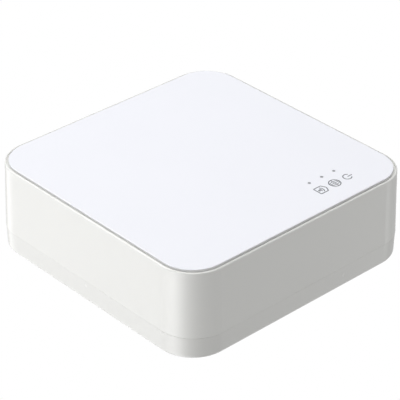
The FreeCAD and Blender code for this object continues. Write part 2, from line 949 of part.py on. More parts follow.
def mesh_radio_board():
    """Small board soldered to the main board by half-round pads along its edges."""
    top = board_top + module_board_thickness
    body = centred_block(module_x, module_y, module_width, module_length, board_top, top)
    for i in range(module_pad_count):
        y = module_y + lead_pitch * (i - (module_pad_count - 1) / 2)
        for side in (-1, 1):
            edge_x = module_x + side * module_width / 2
            body = body.cut(post(edge_x, y, board_top, top, module_pad_radius))
    return body


def mesh_shield_y():
    return module_y + module_length / 2 - module_shield_inset - module_shield_length / 2


def mesh_radio_shield():
    """Drawn metal can over the mesh radio's chips."""
    low = board_top + module_board_thickness
    top = low + module_shield_height
    reach_x = module_width / 2 - module_shield_inset
    reach_y = module_shield_length / 2
    corner = module_shield_inset
    outer = rounded_block(reach_x, reach_y, corner, low, top, module_x, mesh_shield_y())
    inner_x = reach_x - shield_wall
    inner_y = reach_y - shield_wall
    inner = rounded_block(
        inner_x, inner_y, corner - shield_wall, low, top - shield_wall, module_x, mesh_shield_y()
    )
    return outer.cut(inner)


# Antennas with their sockets, plugs and leads
def antenna(side):
    """Thin circuit board that stands on edge in the tray's clips."""
    x = side * antenna_x
    low = floor_top + antenna_lift
    top = low + antenna_height
    return centred_block(x, antenna_middle_y, antenna_thickness, antenna_length, low, top)


def lead_height():
    return board_top + lead_rise


def socket_places():
    """The sockets stand beside each radio, towards its own antenna."""
    wifi_x = shield_x - shield_length / 2 + socket_inset
    wifi_y = shield_y + shield_width / 2 + socket_gap
    mesh_x = module_x + module_width / 2 - socket_inset
    mesh_y = module_y + module_length / 2 + socket_gap
    return [(wifi_x, wifi_y), (mesh_x, mesh_y)]


def antenna_sockets():
    sockets = []
    for x, y in socket_places():
        base = centred_block(x, y, socket_size, socket_size, board_top, board_top + socket_height)
        ring = post(x, y, board_top + socket_height, board_top + 2 * socket_height, socket_ring_radius)
        sockets.append(base.fuse(ring).removeSplitter())
    return group(sockets)


def antenna_plugs():
    """Round snap-on plugs, each with a crimped neck for its lead."""
    plugs = []
    for (x, y), side in zip(socket_places(), (-1, 1)):
        low = board_top + socket_height
        body = post(x, y, low, low + plug_height, plug_radius)
        body = body.cut(post(x, y, low, board_top + 2 * socket_height, socket_ring_radius))
        neck_start = V(x + side * socket_ring_radius, y, lead_height())
        neck_length = plug_radius + plug_neck_length - socket_ring_radius
        neck = Part.makeCylinder(plug_neck_radius, neck_length, neck_start, RIGHT * side)
        plugs.append(body.fuse(neck).removeSplitter())
    return group(plugs)


def antenna_lead(side, place):
    """Thin coaxial lead: out of its plug, round one bend, then along the antenna."""
    z = lead_height()
    start = V(place[0] + side * (plug_radius + plug_neck_length), place[1], z)
    face_x = side * (antenna_x - antenna_thickness / 2 - lead_radius)
    bend_start = V(face_x - side * lead_bend, place[1], z)
    bend_end = V(face_x, place[1] + lead_bend, z)
    half_turn = math.radians(45)
    bend_x = side * lead_bend * math.sin(half_turn)
    bend_y = lead_bend * (1 - math.cos(half_turn))
    bend_middle = bend_start + V(bend_x, bend_y, 0)
    finish = bend_end + BACK * lead_solder_reach
    edges = [
        Part.LineSegment(start, bend_start).toShape(),
        Part.Arc(bend_start, bend_middle, bend_end).toShape(),
        Part.LineSegment(bend_end, finish).toShape(),
    ]
    route = Part.Wire(edges)
    section = Part.Wire(Part.makeCircle(lead_radius, start, RIGHT * side))
    return route.makePipeShell([section], True, False)


# Network socket
def network_block(front_inset, side_inset, z0, z1, back_inset=0.0):
    reach = network_width / 2 - side_inset
    front = port_face - front_inset
    rear = port_face - network_depth + back_inset
    return block(network_x - reach, network_x + reach, rear, front, z0, z1)


def network_mouth(depth):
    """The space for the plug, with the stepped notch for its latch above."""
    front = port_face
    rear = port_face - depth
    low = board_top + network_mouth_floor
    step_1 = low + network_mouth_height
    step_2 = step_1 + latch_height
    step_3 = step_2 + latch_neck_height
    spaces = []
    for width, bottom, top in [
        (network_mouth_width, low, step_1),
        (latch_width, step_1, step_2),
        (latch_neck_width, step_2, step_3),
    ]:
        spaces.append(block(network_x - width / 2, network_x + width / 2, rear, front, bottom, top))
    return fuse_all(spaces)


def status_light_blocks():
    lights = []
    inset = network_jacket + network_jacket_gap
    top = board_top + network_height - inset
    low = top - status_light_height
    rear = port_face - status_light_depth
    for side in (-1, 1):
        outer = network_x + side * (network_width / 2 - inset)
        inner = outer - side * status_light_width
        low_x, high_x = sorted([outer, inner])
        lights.append(block(low_x, high_x, rear, port_face, low, top))
    return lights


def network_front_cuts():
    return [network_mouth(network_mouth_depth)] + status_light_blocks()


def network_pegs(z0, z1, clearance):
    y = port_face - network_peg_setback
    reach = network_peg_spread / 2
    return [post(network_x + side * reach, y, z0, z1, network_peg_radius + clearance) for side in (-1, 1)]


def jacket_tabs(z0, z1, clearance):
    y = port_face - jacket_tab_setback
    tabs = []
    for side in (-1, 1):
        x = network_x + side * (network_width - network_jacket) / 2
        width = network_jacket + 2 * clearance
        length = jacket_tab_width + 2 * clearance
        tabs.append(centred_block(x, y, width, length, z0, z1))
    return tabs


def network_jacket_shell():
    """Folded steel jacket, open below, with the plug's opening and two light windows in its front."""
    top = board_top + network_height
    outer = network_block(0, 0, board_top, top)
    inner = network_block(network_jacket, network_jacket, board_top, top - network_jacket, network_jacket)
    tab_low = board_top - jacket_tab_length
    body = fuse_all([outer.cut(inner)] + jacket_tabs(tab_low, board_top + jacket_tab_width, 0))
    return cut_all(body, network_front_cuts())


def network_housing():
    """Black moulded insert that holds the contacts, with two pegs through the board."""
    inset = network_jacket + network_jacket_gap
    body = network_block(inset, inset, board_top, board_top + network_height - inset, inset)
    body = fuse_all([body] + network_pegs(board_top - network_peg_length, board_top, 0))
    return cut_all(body, network_front_cuts())


def network_contacts():
    """Eight springy wires that rise from the floor of the plug's space."""
    floor = board_top + network_mouth_floor
    front = port_face - contact_start
    foot = front - contact_foot_length
    tip = front - contact_length
    knee = tip + contact_tip_length
    thick = contact_thickness
    points = [
        (front, floor),
        (foot, floor),
        (knee, floor + contact_rise - thick),
        (tip, floor + contact_rise - 2 * thick),
        (tip, floor + contact_rise - thick),
        (knee, floor + contact_rise),
        (foot, floor + thick),
        (front, floor + thick),
    ]
    wires = []
    for i in range(contact_count):
        x = network_x + contact_pitch * (i - (contact_count - 1) / 2)
        wires.append(side_profile(points, x - contact_width / 2, x + contact_width / 2))
    return group(wires)


def status_lights():
    """Clear windows in the upper corners of the network socket."""
    return group(status_light_blocks())


# Power socket
def power_axis():
    return board_top + power_axis_height


def power_spring_groove():
    reach = power_spring_width / 2 + power_spring_gap
    rear = port_face - power_bore_depth
    low = power_axis() - power_bore_radius - power_spring_slot
    return block(power_x - reach, power_x + reach, rear, port_face - power_spring_slot, low, power_axis())


def power_body():
    """Moulded socket for a round plug."""
    reach = power_width / 2
    top = board_top + power_height
    body = block(power_x - reach, power_x + reach, port_face - power_depth, port_face, board_top, top)
    bore = rod_back(power_x, power_axis(), port_face - power_bore_depth, port_face, power_bore_radius)
    return body.cut(bore.fuse(power_spring_groove()))


def power_pin():
    """Round centre pin with a domed end."""
    length = power_bore_depth - power_pin_setback - power_pin_radius
    rear = port_face - power_bore_depth
    pin = rod_back(power_x, power_axis(), rear, rear + length, power_pin_radius)
    dome = Part.makeSphere(power_pin_radius, V(power_x, rear + length, power_axis()))
    return pin.fuse(dome).removeSplitter()


def power_spring():
    """Leaf contact in the bottom of the bore that presses on the plug's barrel."""
    low = power_axis() - power_bore_radius - power_spring_slot
    rear = port_face - power_bore_depth
    front = port_face - 2 * power_spring_slot
    hump = rear + power_spring_hump
    foot = rear + power_spring_foot
    thick = power_spring_thickness
    crest = power_axis() - power_bore_radius + thick
    points = [
        (rear, low),
        (foot, low),
        (hump, crest - thick),
        (front, low + thick),
        (front, low + 2 * thick),
        (hump, crest),
        (foot, low + thick),
        (rear, low + thick),
    ]
    return side_profile(points, power_x - power_spring_width / 2, power_x + power_spring_width / 2)


# Reset button and its switch
def reset_collar_back():
    """The inner end of the collar that guides the button."""
    return half_y - cover_inset(reset_z) - cover_wall - reset_collar_length


def reset_stem_back():
    return reset_collar_back() - reset_flange_gap - reset_flange_thickness - reset_stem_length


def switch_front():
    return reset_stem_back() - switch_plunger_reach


def reset_button():
    """Round cap in the back wall, with a flange that keeps it in and a stem that meets the switch."""
    outer_end = half_y - cover_inset(reset_z) - reset_cap_setback
    flange_front = reset_collar_back() - reset_flange_gap
    flange_back = flange_front - reset_flange_thickness
    cap = rod_back(reset_x, reset_z, flange_front, outer_end, reset_cap_radius)
    rim = [e for e in cap.Edges if abs(e.BoundBox.YMin - outer_end) < 1e-4]
    cap = cap.makeFillet(min(reset_cap_fillet, reset_cap_radius / 2), rim)
    flange = rod_back(reset_x, reset_z, flange_back, flange_front, reset_flange_radius)
    stem = rod_back(reset_x, reset_z, reset_stem_back(), flange_back, reset_stem_radius)
    return fuse_all([cap, flange, stem])


def reset_switch():
    """Body of the upright push switch, with the bore that its plunger slides in."""
    front = switch_front()
    reach = switch_width / 2
    top = board_top + switch_height
    body = block(reset_x - reach, reset_x + reach, front - switch_depth, front, board_top, top)
    bore_radius = switch_plunger_radius + switch_bore_gap
    return body.cut(rod_back(reset_x, reset_z, front - switch_bore_depth, front, bore_radius))


def switch_plunger():
    inner_end = switch_front() - switch_bore_depth + reset_travel + switch_stop_gap
    return rod_back(reset_x, reset_z, inner_end, reset_stem_back(), switch_plunger_radius)


nodes = {
    "top_plate": top_plate(),
    "plate_tape": plate_tape(),
    "upper_cover": upper_cover(),
    "base_tray": base_tray(),
    "rubber_feet": rubber_feet(),
    "case_screws": case_screws(),
    "blank_label": blank_label(),
    "light_guide": light_guide(),
    "light_baffle": light_baffle(),
    "indicator_leds": indicator_leds(),
    "main_board": main_board(),
    "board_screws": board_screws(),
    "processor": processor(),
    "thermal_pad": thermal_pad(),
    "heat_sink": heat_sink(),
    "heat_sink_pins": heat_sink_pins(),
    "memory_chip": memory_chip(),
    "flash_chip": flash_chip(),
    "network_transformer": network_transformer(),
    "power_regulators": power_regulators(),
    "power_inductors": power_inductors(),
    "filter_capacitors": filter_capacitors(),
    "clock_crystals": clock_crystals(),
    "chip_resistors": chip_resistors(),
    "chip_capacitors": chip_capacitors(),
    "wifi_shield_frame": shield_frame(),
    "wifi_shield_lid": shield_lid(),
    "wifi_chip": radio_chip(),
    "mesh_radio_board": mesh_radio_board(),
    "mesh_radio_shield": mesh_radio_shield(),
    "wifi_antenna": antenna(-1),
    "mesh_antenna": antenna(1),
    "antenna_sockets": antenna_sockets(),
    "antenna_plugs": antenna_plugs(),
    "wifi_antenna_lead": antenna_lead(-1, socket_places()[0]),
    "mesh_antenna_lead": antenna_lead(1, socket_places()[1]),
    "network_jacket": network_jacket_shell(),
    "network_housing": network_housing(),
    "network_contacts": network_contacts(),
    "network_status_lights": status_lights(),
    "power_socket_body": power_body(),
    "power_socket_pin": power_pin(),
    "power_socket_spring": power_spring(),
    "reset_switch_body": reset_switch(),
    "reset_switch_plunger": switch_plunger(),
    "reset_button": reset_button(),
}

os.makedirs("parts", exist_ok=True)
for name, shape in nodes.items():
    shape.exportStep("parts/" + name + ".step")
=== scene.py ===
import math

import bpy
from mathutils import Matrix, Vector


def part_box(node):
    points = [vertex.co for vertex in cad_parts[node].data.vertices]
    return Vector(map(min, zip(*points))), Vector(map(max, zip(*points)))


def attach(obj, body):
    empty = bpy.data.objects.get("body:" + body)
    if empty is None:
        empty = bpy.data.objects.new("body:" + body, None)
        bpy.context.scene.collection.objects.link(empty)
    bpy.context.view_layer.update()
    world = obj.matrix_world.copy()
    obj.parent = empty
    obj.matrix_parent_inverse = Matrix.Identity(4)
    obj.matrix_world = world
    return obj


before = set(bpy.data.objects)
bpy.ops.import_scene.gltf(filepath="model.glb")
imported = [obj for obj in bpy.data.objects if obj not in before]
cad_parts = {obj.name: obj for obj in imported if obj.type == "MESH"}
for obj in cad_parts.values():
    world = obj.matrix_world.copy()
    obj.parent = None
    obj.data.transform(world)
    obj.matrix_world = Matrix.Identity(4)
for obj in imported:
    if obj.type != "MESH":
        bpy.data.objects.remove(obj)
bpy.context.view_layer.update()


# Base tray: the shallow lower half of the case, with standoffs, clips, air slots and keyholes.
# It is injection moulded in white ABS and polished outside, so it is glossy with a faint orange
# peel. Its colour is a shade greyer than the cover's, which is painted shade for the lower half.
def srgb(code):
    """The linear colour of an sRGB hex code."""
    parts = [int(code[i:i + 2], 16) / 255 for i in (0, 2, 4)]
    return [p / 12.92 if p <= 0.04045 else ((p + 0.055) / 1.055) ** 2.4 for p in parts] + [1.0]


def per_metre(millimetres):
    """The scale of a pattern whose grains are this many millimetres across."""
    return 1000 / millimetres


def start_material(name):
    """A new material and its node tree, which is still empty."""
    material = bpy.data.materials.new(name)
    material.use_nodes = True
    material.node_tree.nodes.clear()
    return material, material.node_tree


def add(tree, kind, settings=None, values=None, links=None):
    """Adds a node, sets its own settings and its sockets' values, and links its sockets."""
    node = tree.nodes.new(kind)
    for key, value in (settings or {}).items():
        setattr(node, key, value)
    for key, value in (values or {}).items():
        node.inputs[key].default_value = value
    for key, output in (links or {}).items():
        tree.links.new(output, node.inputs[key])
    return node


# A Mix node's sockets share their names, so its share and its colours are known by number.
mix_share, mix_from, mix_to, mix_colour = 0, 6, 7, 2


def moulded_plastic(name, light, dark, gloss, peel_mm, peel_height_mm, ior=1.53):
    """Moulded plastic: cloudy flow marks in its colour, an uneven polish and a fine orange peel."""
    flow_mm = 38
    polish_mm = 9
    uneven = 0.15
    material, tree = start_material(name)
    place = add(tree, "ShaderNodeTexCoord").outputs["Object"]
    flow = add(tree, "ShaderNodeTexNoise", values={"Scale": per_metre(flow_mm), "Detail": 2.0},
               links={"Vector": place})
    colour = add(tree, "ShaderNodeMix", {"data_type": "RGBA"},
                 {mix_from: srgb(light), mix_to: srgb(dark)}, {mix_share: flow.outputs[0]})
    polish = add(tree, "ShaderNodeTexNoise", values={"Scale": per_metre(polish_mm), "Detail": 3.0},
                 links={"Vector": place})
    rough = add(tree, "ShaderNodeMapRange",
                values={"To Min": gloss * (1 - uneven), "To Max": gloss * (1 + uneven)},
                links={"Value": polish.outputs[0]})
    peel = add(tree, "ShaderNodeTexNoise", values={"Scale": per_metre(peel_mm), "Detail": 2.0},
               links={"Vector": place})
    bump = add(tree, "ShaderNodeBump", values={"Strength": 1.0, "Distance": peel_height_mm / 1000},
               links={"Height": peel.outputs[0]})
    shader = add(tree, "ShaderNodeBsdfPrincipled", values={"IOR": ior},
                 links={"Base Color": colour.outputs[mix_colour], "Roughness": rough.outputs[0],
                        "Normal": bump.outputs[0]})
    add(tree, "ShaderNodeOutputMaterial", links={"Surface": shader.outputs[0]})
    return material


def dress(material, *names):
    """Gives the CAD nodes their finish."""
    for name in names:
        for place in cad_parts[name].material_slots:
            place.material = material


# Painted shade: the tray's white is a shade greyer than the cover's.
tray_abs_painted_shade = moulded_plastic("white_abs_moulded_tray", "e2e2df", "dfdfdc", gloss=0.26,
                           peel_mm=1.4, peel_height_mm=0.0012)
dress(tray_abs_painted_shade, "base_tray")


# Rubber feet: four round pads pressed from grey silicone and stuck in the tray's recesses.
# Silicone is matt, takes up dust, and has a fine grain from its mould.
def moulded_rubber(name, light, dark, grain_mm, grain_height_mm):
    """Soft rubber: patchy grey bloom and a fine moulded grain."""
    bloom_mm = 5
    material, tree = start_material(name)
    place = add(tree, "ShaderNodeTexCoord").outputs["Object"]
    bloom = add(tree, "ShaderNodeTexNoise", values={"Scale": per_metre(bloom_mm), "Detail": 4.0},
                links={"Vector": place})
    colour = add(tree, "ShaderNodeMix", {"data_type": "RGBA"},
                 {mix_from: srgb(light), mix_to: srgb(dark)}, {mix_share: bloom.outputs[0]})
    grain = add(tree, "ShaderNodeTexNoise", values={"Scale": per_metre(grain_mm), "Detail": 3.0},
                links={"Vector": place})
    bump = add(tree, "ShaderNodeBump", values={"Strength": 1.0, "Distance": grain_height_mm / 1000},
               links={"Height": grain.outputs[0]})
    shader = add(tree, "ShaderNodeBsdfPrincipled", values={"IOR": 1.43, "Roughness": 0.72},
                 links={"Base Color": colour.outputs[mix_colour], "Normal": bump.outputs[0]})
    add(tree, "ShaderNodeOutputMaterial", links={"Surface": shader.outputs[0]})
    return material


foot_silicone = moulded_rubber("grey_silicone_pressed_foot", "8e8f90", "7c7d7f",
                               grain_mm=0.25, grain_height_mm=0.01)
dress(foot_silicone, "rubber_feet")


# Label: a blank film stuck in a shallow recess under the tray. It is matt silver polyester, which
# shows the slight waviness of its adhesive, with a thin grey frame printed round an empty field.
def polyester_film():
    """Silver film: fine fibres in its colour and a slow wave in its surface."""
    wave_mm = 2.5
    wave_height_mm = 0.02
    fibre_mm = 0.2
    material, tree = start_material("silver_polyester_label_film")
    place = add(tree, "ShaderNodeTexCoord").outputs["Object"]
    fibre = add(tree, "ShaderNodeTexNoise", values={"Scale": per_metre(fibre_mm), "Detail": 3.0},
                links={"Vector": place})
    colour = add(tree, "ShaderNodeMix", {"data_type": "RGBA"},
                 {mix_from: srgb("cfd0d2"), mix_to: srgb("c4c5c8")}, {mix_share: fibre.outputs[0]})
    wave = add(tree, "ShaderNodeTexNoise", values={"Scale": per_metre(wave_mm), "Detail": 1.0},
               links={"Vector": place})
    bump = add(tree, "ShaderNodeBump", values={"Strength": 1.0, "Distance": wave_height_mm / 1000},
               links={"Height": wave.outputs[0]})
    shader = add(tree, "ShaderNodeBsdfPrincipled",
                 values={"IOR": 1.57, "Roughness": 0.42, "Metallic": 0.35},
                 links={"Base Color": colour.outputs[mix_colour], "Normal": bump.outputs[0]})
    add(tree, "ShaderNodeOutputMaterial", links={"Surface": shader.outputs[0]})
    return material


def printing_ink(name, light, dark):
    """Matt ink, a little thinner in some spots than in others."""
    spot_mm = 0.3
    material, tree = start_material(name)
    place = add(tree, "ShaderNodeTexCoord").outputs["Object"]
    spot = add(tree, "ShaderNodeTexNoise", values={"Scale": per_metre(spot_mm), "Detail": 3.0},
               links={"Vector": place})
    colour = add(tree, "ShaderNodeMix", {"data_type": "RGBA"},
                 {mix_from: srgb(light), mix_to: srgb(dark)}, {mix_share: spot.outputs[0]})
    shader = add(tree, "ShaderNodeBsdfPrincipled", values={"IOR": 1.5, "Roughness": 0.5},
                 links={"Base Color": colour.outputs[mix_colour]})
    add(tree, "ShaderNodeOutputMaterial", links={"Surface": shader.outputs[0]})
    return material


def start_piece(primitive, **sizes):
    """Adds one primitive, selected alone, and opens it in edit mode to be shaped."""
    bpy.ops.object.select_all(action="DESELECT")
    primitive(location=(0, 0, 0), **sizes)
    bpy.ops.object.mode_set(mode="EDIT")
    return bpy.context.object


def select_faces(piece, wanted):
    """Selects, of the piece in edit mode, only the faces for which wanted(face) is true."""
    bpy.ops.mesh.select_mode(type="FACE")
    bpy.ops.mesh.select_all(action="DESELECT")
    bpy.ops.object.mode_set(mode="OBJECT")
    for face in piece.data.polygons:
        face.select = wanted(face)
    bpy.ops.object.mode_set(mode="EDIT")


def thicken(thickness):
    """Gives the flat shape in edit mode its thickness, and turns its faces outwards."""
    bpy.ops.mesh.extrude_region_move(TRANSFORM_OT_translate={"value": (0, 0, thickness)})
    bpy.ops.mesh.select_all(action="SELECT")
    bpy.ops.mesh.normals_make_consistent(inside=False)
    bpy.ops.object.mode_set(mode="OBJECT")


def film(centre, reach_x, reach_y, thickness, corner=None, line=None, turn=0.0, keep=None):
    """Lays a thin film about a point of a level surface. It is round, or with corner a rectangle
    whose corners are rounded by that much. With line it is a closed outline of that width, and
    keep(point) then says which of its faces stay."""
    if corner is None:
        piece = start_piece(bpy.ops.mesh.primitive_circle_add, vertices=48, radius=1.0,
                            fill_type="NGON")
    else:
        piece = start_piece(bpy.ops.mesh.primitive_plane_add, size=2.0)
    bpy.ops.transform.resize(value=(reach_x, reach_y, 1.0), center_override=(0, 0, 0))
    if corner is not None:
        bpy.ops.mesh.bevel(offset=corner, segments=3, affect="VERTICES")
        bpy.ops.mesh.select_all(action="SELECT")
    if line:
        bpy.ops.mesh.inset(thickness=line)
        bpy.ops.mesh.delete(type="FACE")
        bpy.ops.mesh.select_all(action="SELECT")
    if turn:
        bpy.ops.transform.rotate(value=-turn, orient_axis="Z", center_override=(0, 0, 0))
    bpy.ops.transform.translate(value=centre)
    if keep:
        select_faces(piece, lambda face: not keep(face.center))
        bpy.ops.mesh.delete(type="FACE")
        bpy.ops.mesh.select_all(action="SELECT")
    thicken(thickness)
    return piece


def fix_to_case(name, parts, material):
    """Joins the parts of one piece, puts its place in its mesh, gives it its finish and fixes it
    to the case."""
    bpy.ops.object.select_all(action="DESELECT")
    for part in parts:
        part.select_set(True)
    bpy.context.view_layer.objects.active = parts[0]
    if len(parts) > 1:
        bpy.ops.object.join()
    piece = bpy.context.object
    bpy.ops.object.transform_apply(location=True, rotation=True, scale=True)
    piece.name = name
    piece.data.materials.append(material)
    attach(piece, "case")


def label_print():
    """A frame near the film's edge and a line that divides its empty field, on the face below."""
    ink = 0.00002
    margin = 0.0018
    line = 0.0004
    corner = 0.0008
    field_share = 0.3
    low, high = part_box("blank_label")
    middle = (low + high) / 2
    reach_x = (high.x - low.x) / 2 - margin
    reach_y = (high.y - low.y) / 2 - margin
    face = Vector((middle.x, middle.y, low.z))
    divide = face + Vector((reach_x * field_share, 0, 0))
    parts = [film(face, reach_x, reach_y, -ink, corner, line),
             film(divide, line / 2, reach_y - line, -ink, line / 8)]
    fix_to_case("printed_label_frame", parts,
                printing_ink("grey_label_ink", "6f7174", "7b7d80"))


dress(polyester_film(), "blank_label")
label_print()


# Screws: cold formed steel with bright zinc plating. The plating is crystalline, so its shine is
# broken into fine patches, and its polish is uneven from tumbling.
def plated_metal(name, light, dark, gloss, patch_mm, dent_mm, dent_height_mm):
    """Bare or plated metal: patchy tone, uneven polish and shallow dents."""
    uneven = 0.3
    material, tree = start_material(name)
    place = add(tree, "ShaderNodeTexCoord").outputs["Object"]
    patch = add(tree, "ShaderNodeTexNoise", values={"Scale": per_metre(patch_mm), "Detail": 4.0},
                links={"Vector": place})
    colour = add(tree, "ShaderNodeMix", {"data_type": "RGBA"},
                 {mix_from: srgb(light), mix_to: srgb(dark)}, {mix_share: patch.outputs[0]})
    rough = add(tree, "ShaderNodeMapRange",
                values={"To Min": gloss * (1 - uneven), "To Max": gloss * (1 + uneven)},
                links={"Value": patch.outputs[0]})
    dent = add(tree, "ShaderNodeTexNoise", values={"Scale": per_metre(dent_mm), "Detail": 2.0},
               links={"Vector": place})
    bump = add(tree, "ShaderNodeBump", values={"Strength": 1.0, "Distance": dent_height_mm / 1000},
               links={"Height": dent.outputs[0]})
    shader = add(tree, "ShaderNodeBsdfPrincipled", values={"Metallic": 1.0},
                 links={"Base Color": colour.outputs[mix_colour], "Roughness": rough.outputs[0],
                        "Normal": bump.outputs[0]})
    add(tree, "ShaderNodeOutputMaterial", links={"Surface": shader.outputs[0]})
    return material


zinc_steel = plated_metal("bright_zinc_plated_steel", "d6d8da", "b9bbbd", gloss=0.3,
                          patch_mm=0.6, dent_mm=0.8, dent_height_mm=0.004)
dress(zinc_steel, "case_screws", "board_screws")


# Main board: glass laminate with copper tracks under green solder mask. The tracks show through the
# mask as lighter lines, and the mask is glossy. White legend is printed round the parts, and two
# rows of gold plated test pads lie bare near the front edge.
def solder_mask(name, mask, over_copper, pitch_mm, field_mm, via_mm):
    """Solder mask over a field of tracks, which run both ways in blocks, with small plated holes
    whose copper shows through as round dots. The tracks are drawn coarser than real ones, so that
    they show."""
    bands = per_metre(pitch_mm) * math.pi / 10    # a track and its gap take pi / 10 of the pattern
    turned_share = 0.5
    bare_share = 0.35
    hole_share = 0.11
    copper_mm = 0.03
    mix_first, mix_second = 2, 3
    material, tree = start_material(name)
    place = add(tree, "ShaderNodeTexCoord").outputs["Object"]
    across, along = [add(tree, "ShaderNodeTexWave",
                         {"wave_type": "BANDS", "bands_direction": direction},
                         {"Scale": bands, "Distortion": 0.0}, {"Vector": place})
                     for direction in "XY"]
    field = add(tree, "ShaderNodeTexVoronoi", {"distance": "CHEBYCHEV"},
                {"Scale": per_metre(field_mm)}, {"Vector": place})
    which = add(tree, "ShaderNodeSeparateColor", links={0: field.outputs["Color"]})
    turn = add(tree, "ShaderNodeMath", {"operation": "GREATER_THAN"}, {1: turned_share},
               {0: which.outputs[0]})
    lines = add(tree, "ShaderNodeMix",
                links={mix_share: turn.outputs[0], mix_first: across.outputs[1],
                       mix_second: along.outputs[1]})
    track = add(tree, "ShaderNodeMapRange", {"interpolation_type": "SMOOTHSTEP"},
                {"From Min": 0.45, "From Max": 0.6}, {"Value": lines.outputs[0]})
    filled = add(tree, "ShaderNodeMath", {"operation": "GREATER_THAN"}, {1: bare_share},
                 {0: which.outputs[1]})
    tracks = add(tree, "ShaderNodeMath", {"operation": "MULTIPLY"}, None,
                 {0: track.outputs[0], 1: filled.outputs[0]})
    holes = add(tree, "ShaderNodeTexVoronoi", values={"Scale": per_metre(via_mm)},
                links={"Vector": place})
    dots = add(tree, "ShaderNodeMath", {"operation": "LESS_THAN"}, {1: hole_share},
               {0: holes.outputs["Distance"]})
    shown = add(tree, "ShaderNodeMath", {"operation": "MAXIMUM"}, None,
                {0: tracks.outputs[0], 1: dots.outputs[0]})
    colour = add(tree, "ShaderNodeMix", {"data_type": "RGBA"},
                 {mix_from: srgb(mask), mix_to: srgb(over_copper)}, {mix_share: shown.outputs[0]})
    bump = add(tree, "ShaderNodeBump", values={"Strength": 0.5, "Distance": copper_mm / 1000},
               links={"Height": shown.outputs[0]})
    shader = add(tree, "ShaderNodeBsdfPrincipled", values={"IOR": 1.52, "Roughness": 0.28},
                 links={"Base Color": colour.outputs[mix_colour], "Normal": bump.outputs[0]})
    add(tree, "ShaderNodeOutputMaterial", links={"Surface": shader.outputs[0]})
    return material


green_mask = solder_mask("green_solder_mask_laminate", "0f5a2c", "1f7a40",
                         pitch_mm=6.283, field_mm=9, via_mm=3.6)
dress(green_mask, "main_board", "mesh_radio_board")
gold_plate = plated_metal("gold_plated_copper_and_brass", "e3c274", "cfa95a", gloss=0.24,
                          patch_mm=0.7, dent_mm=0.6, dent_height_mm=0.002)
board_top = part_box("main_board")[1].z
# Like parts stand in straight rows, each given by its count and its step.
pair_row = (2, Vector((0.009, 0, 0)))
can_row = (3, Vector((0, 0.008, 0)))


def first_in_row(node, count, step):
    """The lowest and highest corners of the first part of a node that is one straight row."""
    low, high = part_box(node)
    return low, high - step * (count - 1)


def set_in_row(piece, count, step):
    """Repeats a finished shape in a straight row."""
    bpy.context.view_layer.objects.active = piece
    bpy.ops.object.modifier_add(type="ARRAY")
    array = piece.modifiers[-1]
    array.count = count
    array.use_relative_offset = False
    array.use_constant_offset = True
    array.constant_offset_displace = step
    bpy.ops.object.modifier_apply(modifier=array.name)
    return piece


def board_legend():
    """A thin white outline round each part on the board."""
    ink = 0.00002
    line = 0.0002
    margin = 0.0006
    corner = 0.0003

    def outline(low, high):
        middle = (low + high) / 2
        middle.z = board_top
        return film(middle, (high.x - low.x) / 2 + margin, (high.y - low.y) / 2 + margin, ink,
                    corner, line)

    single = ("processor", "memory_chip", "flash_chip", "network_transformer",
              "wifi_shield_frame", "mesh_radio_board", "light_baffle")
    rows = {"power_regulators": pair_row, "power_inductors": pair_row,
            "filter_capacitors": can_row, "clock_crystals": pair_row}
    parts = [outline(*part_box(name)) for name in single]
    parts += [set_in_row(outline(*first_in_row(name, *row)), *row) for name, row in rows.items()]
    fix_to_case("board_legend", parts,
                printing_ink("white_legend_ink", "e6e8e2", "d4d8d0"))


def test_pads():
    """Round pads in two rows between the flash chip and the front right corner."""
    copper = 0.000035
    radius = 0.0006
    pitch = 0.00254
    columns = 8
    rows = 2
    first_x = 0.013
    pad = film(Vector((first_x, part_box("flash_chip")[0].y, board_top)), radius, radius, copper)
    set_in_row(pad, columns, (pitch, 0, 0))
    set_in_row(pad, rows, (0, -pitch, 0))
    fix_to_case("board_test_pads", [pad], gold_plate)


board_legend()
test_pads()


# Processor: a chip under a nickel plated copper lid on a small green carrier, with a soft silicone
# pad and a heat sink above. Lid and carrier are one solid, whose finish changes part of the way up.
def lidded_chip():
    """Patchy bright nickel above the carrier's top, and green laminate below it."""
    carrier_share = 0.45
    patch_mm = 0.8
    low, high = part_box("processor")
    carrier_top = low.z + (high.z - low.z) * carrier_share
    material, tree = start_material("nickel_plated_lid_on_carrier")
    place = add(tree, "ShaderNodeTexCoord").outputs["Object"]
    split = add(tree, "ShaderNodeSeparateXYZ", links={0: place})
    lid = add(tree, "ShaderNodeMath", {"operation": "GREATER_THAN"}, {1: carrier_top},
              {0: split.outputs[2]})
    patch = add(tree, "ShaderNodeTexNoise", values={"Scale": per_metre(patch_mm), "Detail": 4.0},
                links={"Vector": place})
    metal = add(tree, "ShaderNodeMix", {"data_type": "RGBA"},
                {mix_from: srgb("c9c8c4"), mix_to: srgb("b2b1ad")}, {mix_share: patch.outputs[0]})
    colour = add(tree, "ShaderNodeMix", {"data_type": "RGBA"}, {mix_from: srgb("17532c")},
                 {mix_share: lid.outputs[0], mix_to: metal.outputs[mix_colour]})
    rough = add(tree, "ShaderNodeMapRange", values={"To Min": 0.25, "To Max": 0.4},
                links={"Value": patch.outputs[0]})
    shader = add(tree, "ShaderNodeBsdfPrincipled",
                 links={"Base Color": colour.outputs[mix_colour], "Metallic": lid.outputs[0],
                        "Roughness": rough.outputs[0]})
    add(tree, "ShaderNodeOutputMaterial", links={"Surface": shader.outputs[0]})
    return material


gap_pad = moulded_rubber("blue_silicone_gap_pad", "7d9cb4", "6f8fa8",
                         grain_mm=0.4, grain_height_mm=0.02)
dress(lidded_chip(), "processor")
dress(gap_pad, "thermal_pad")


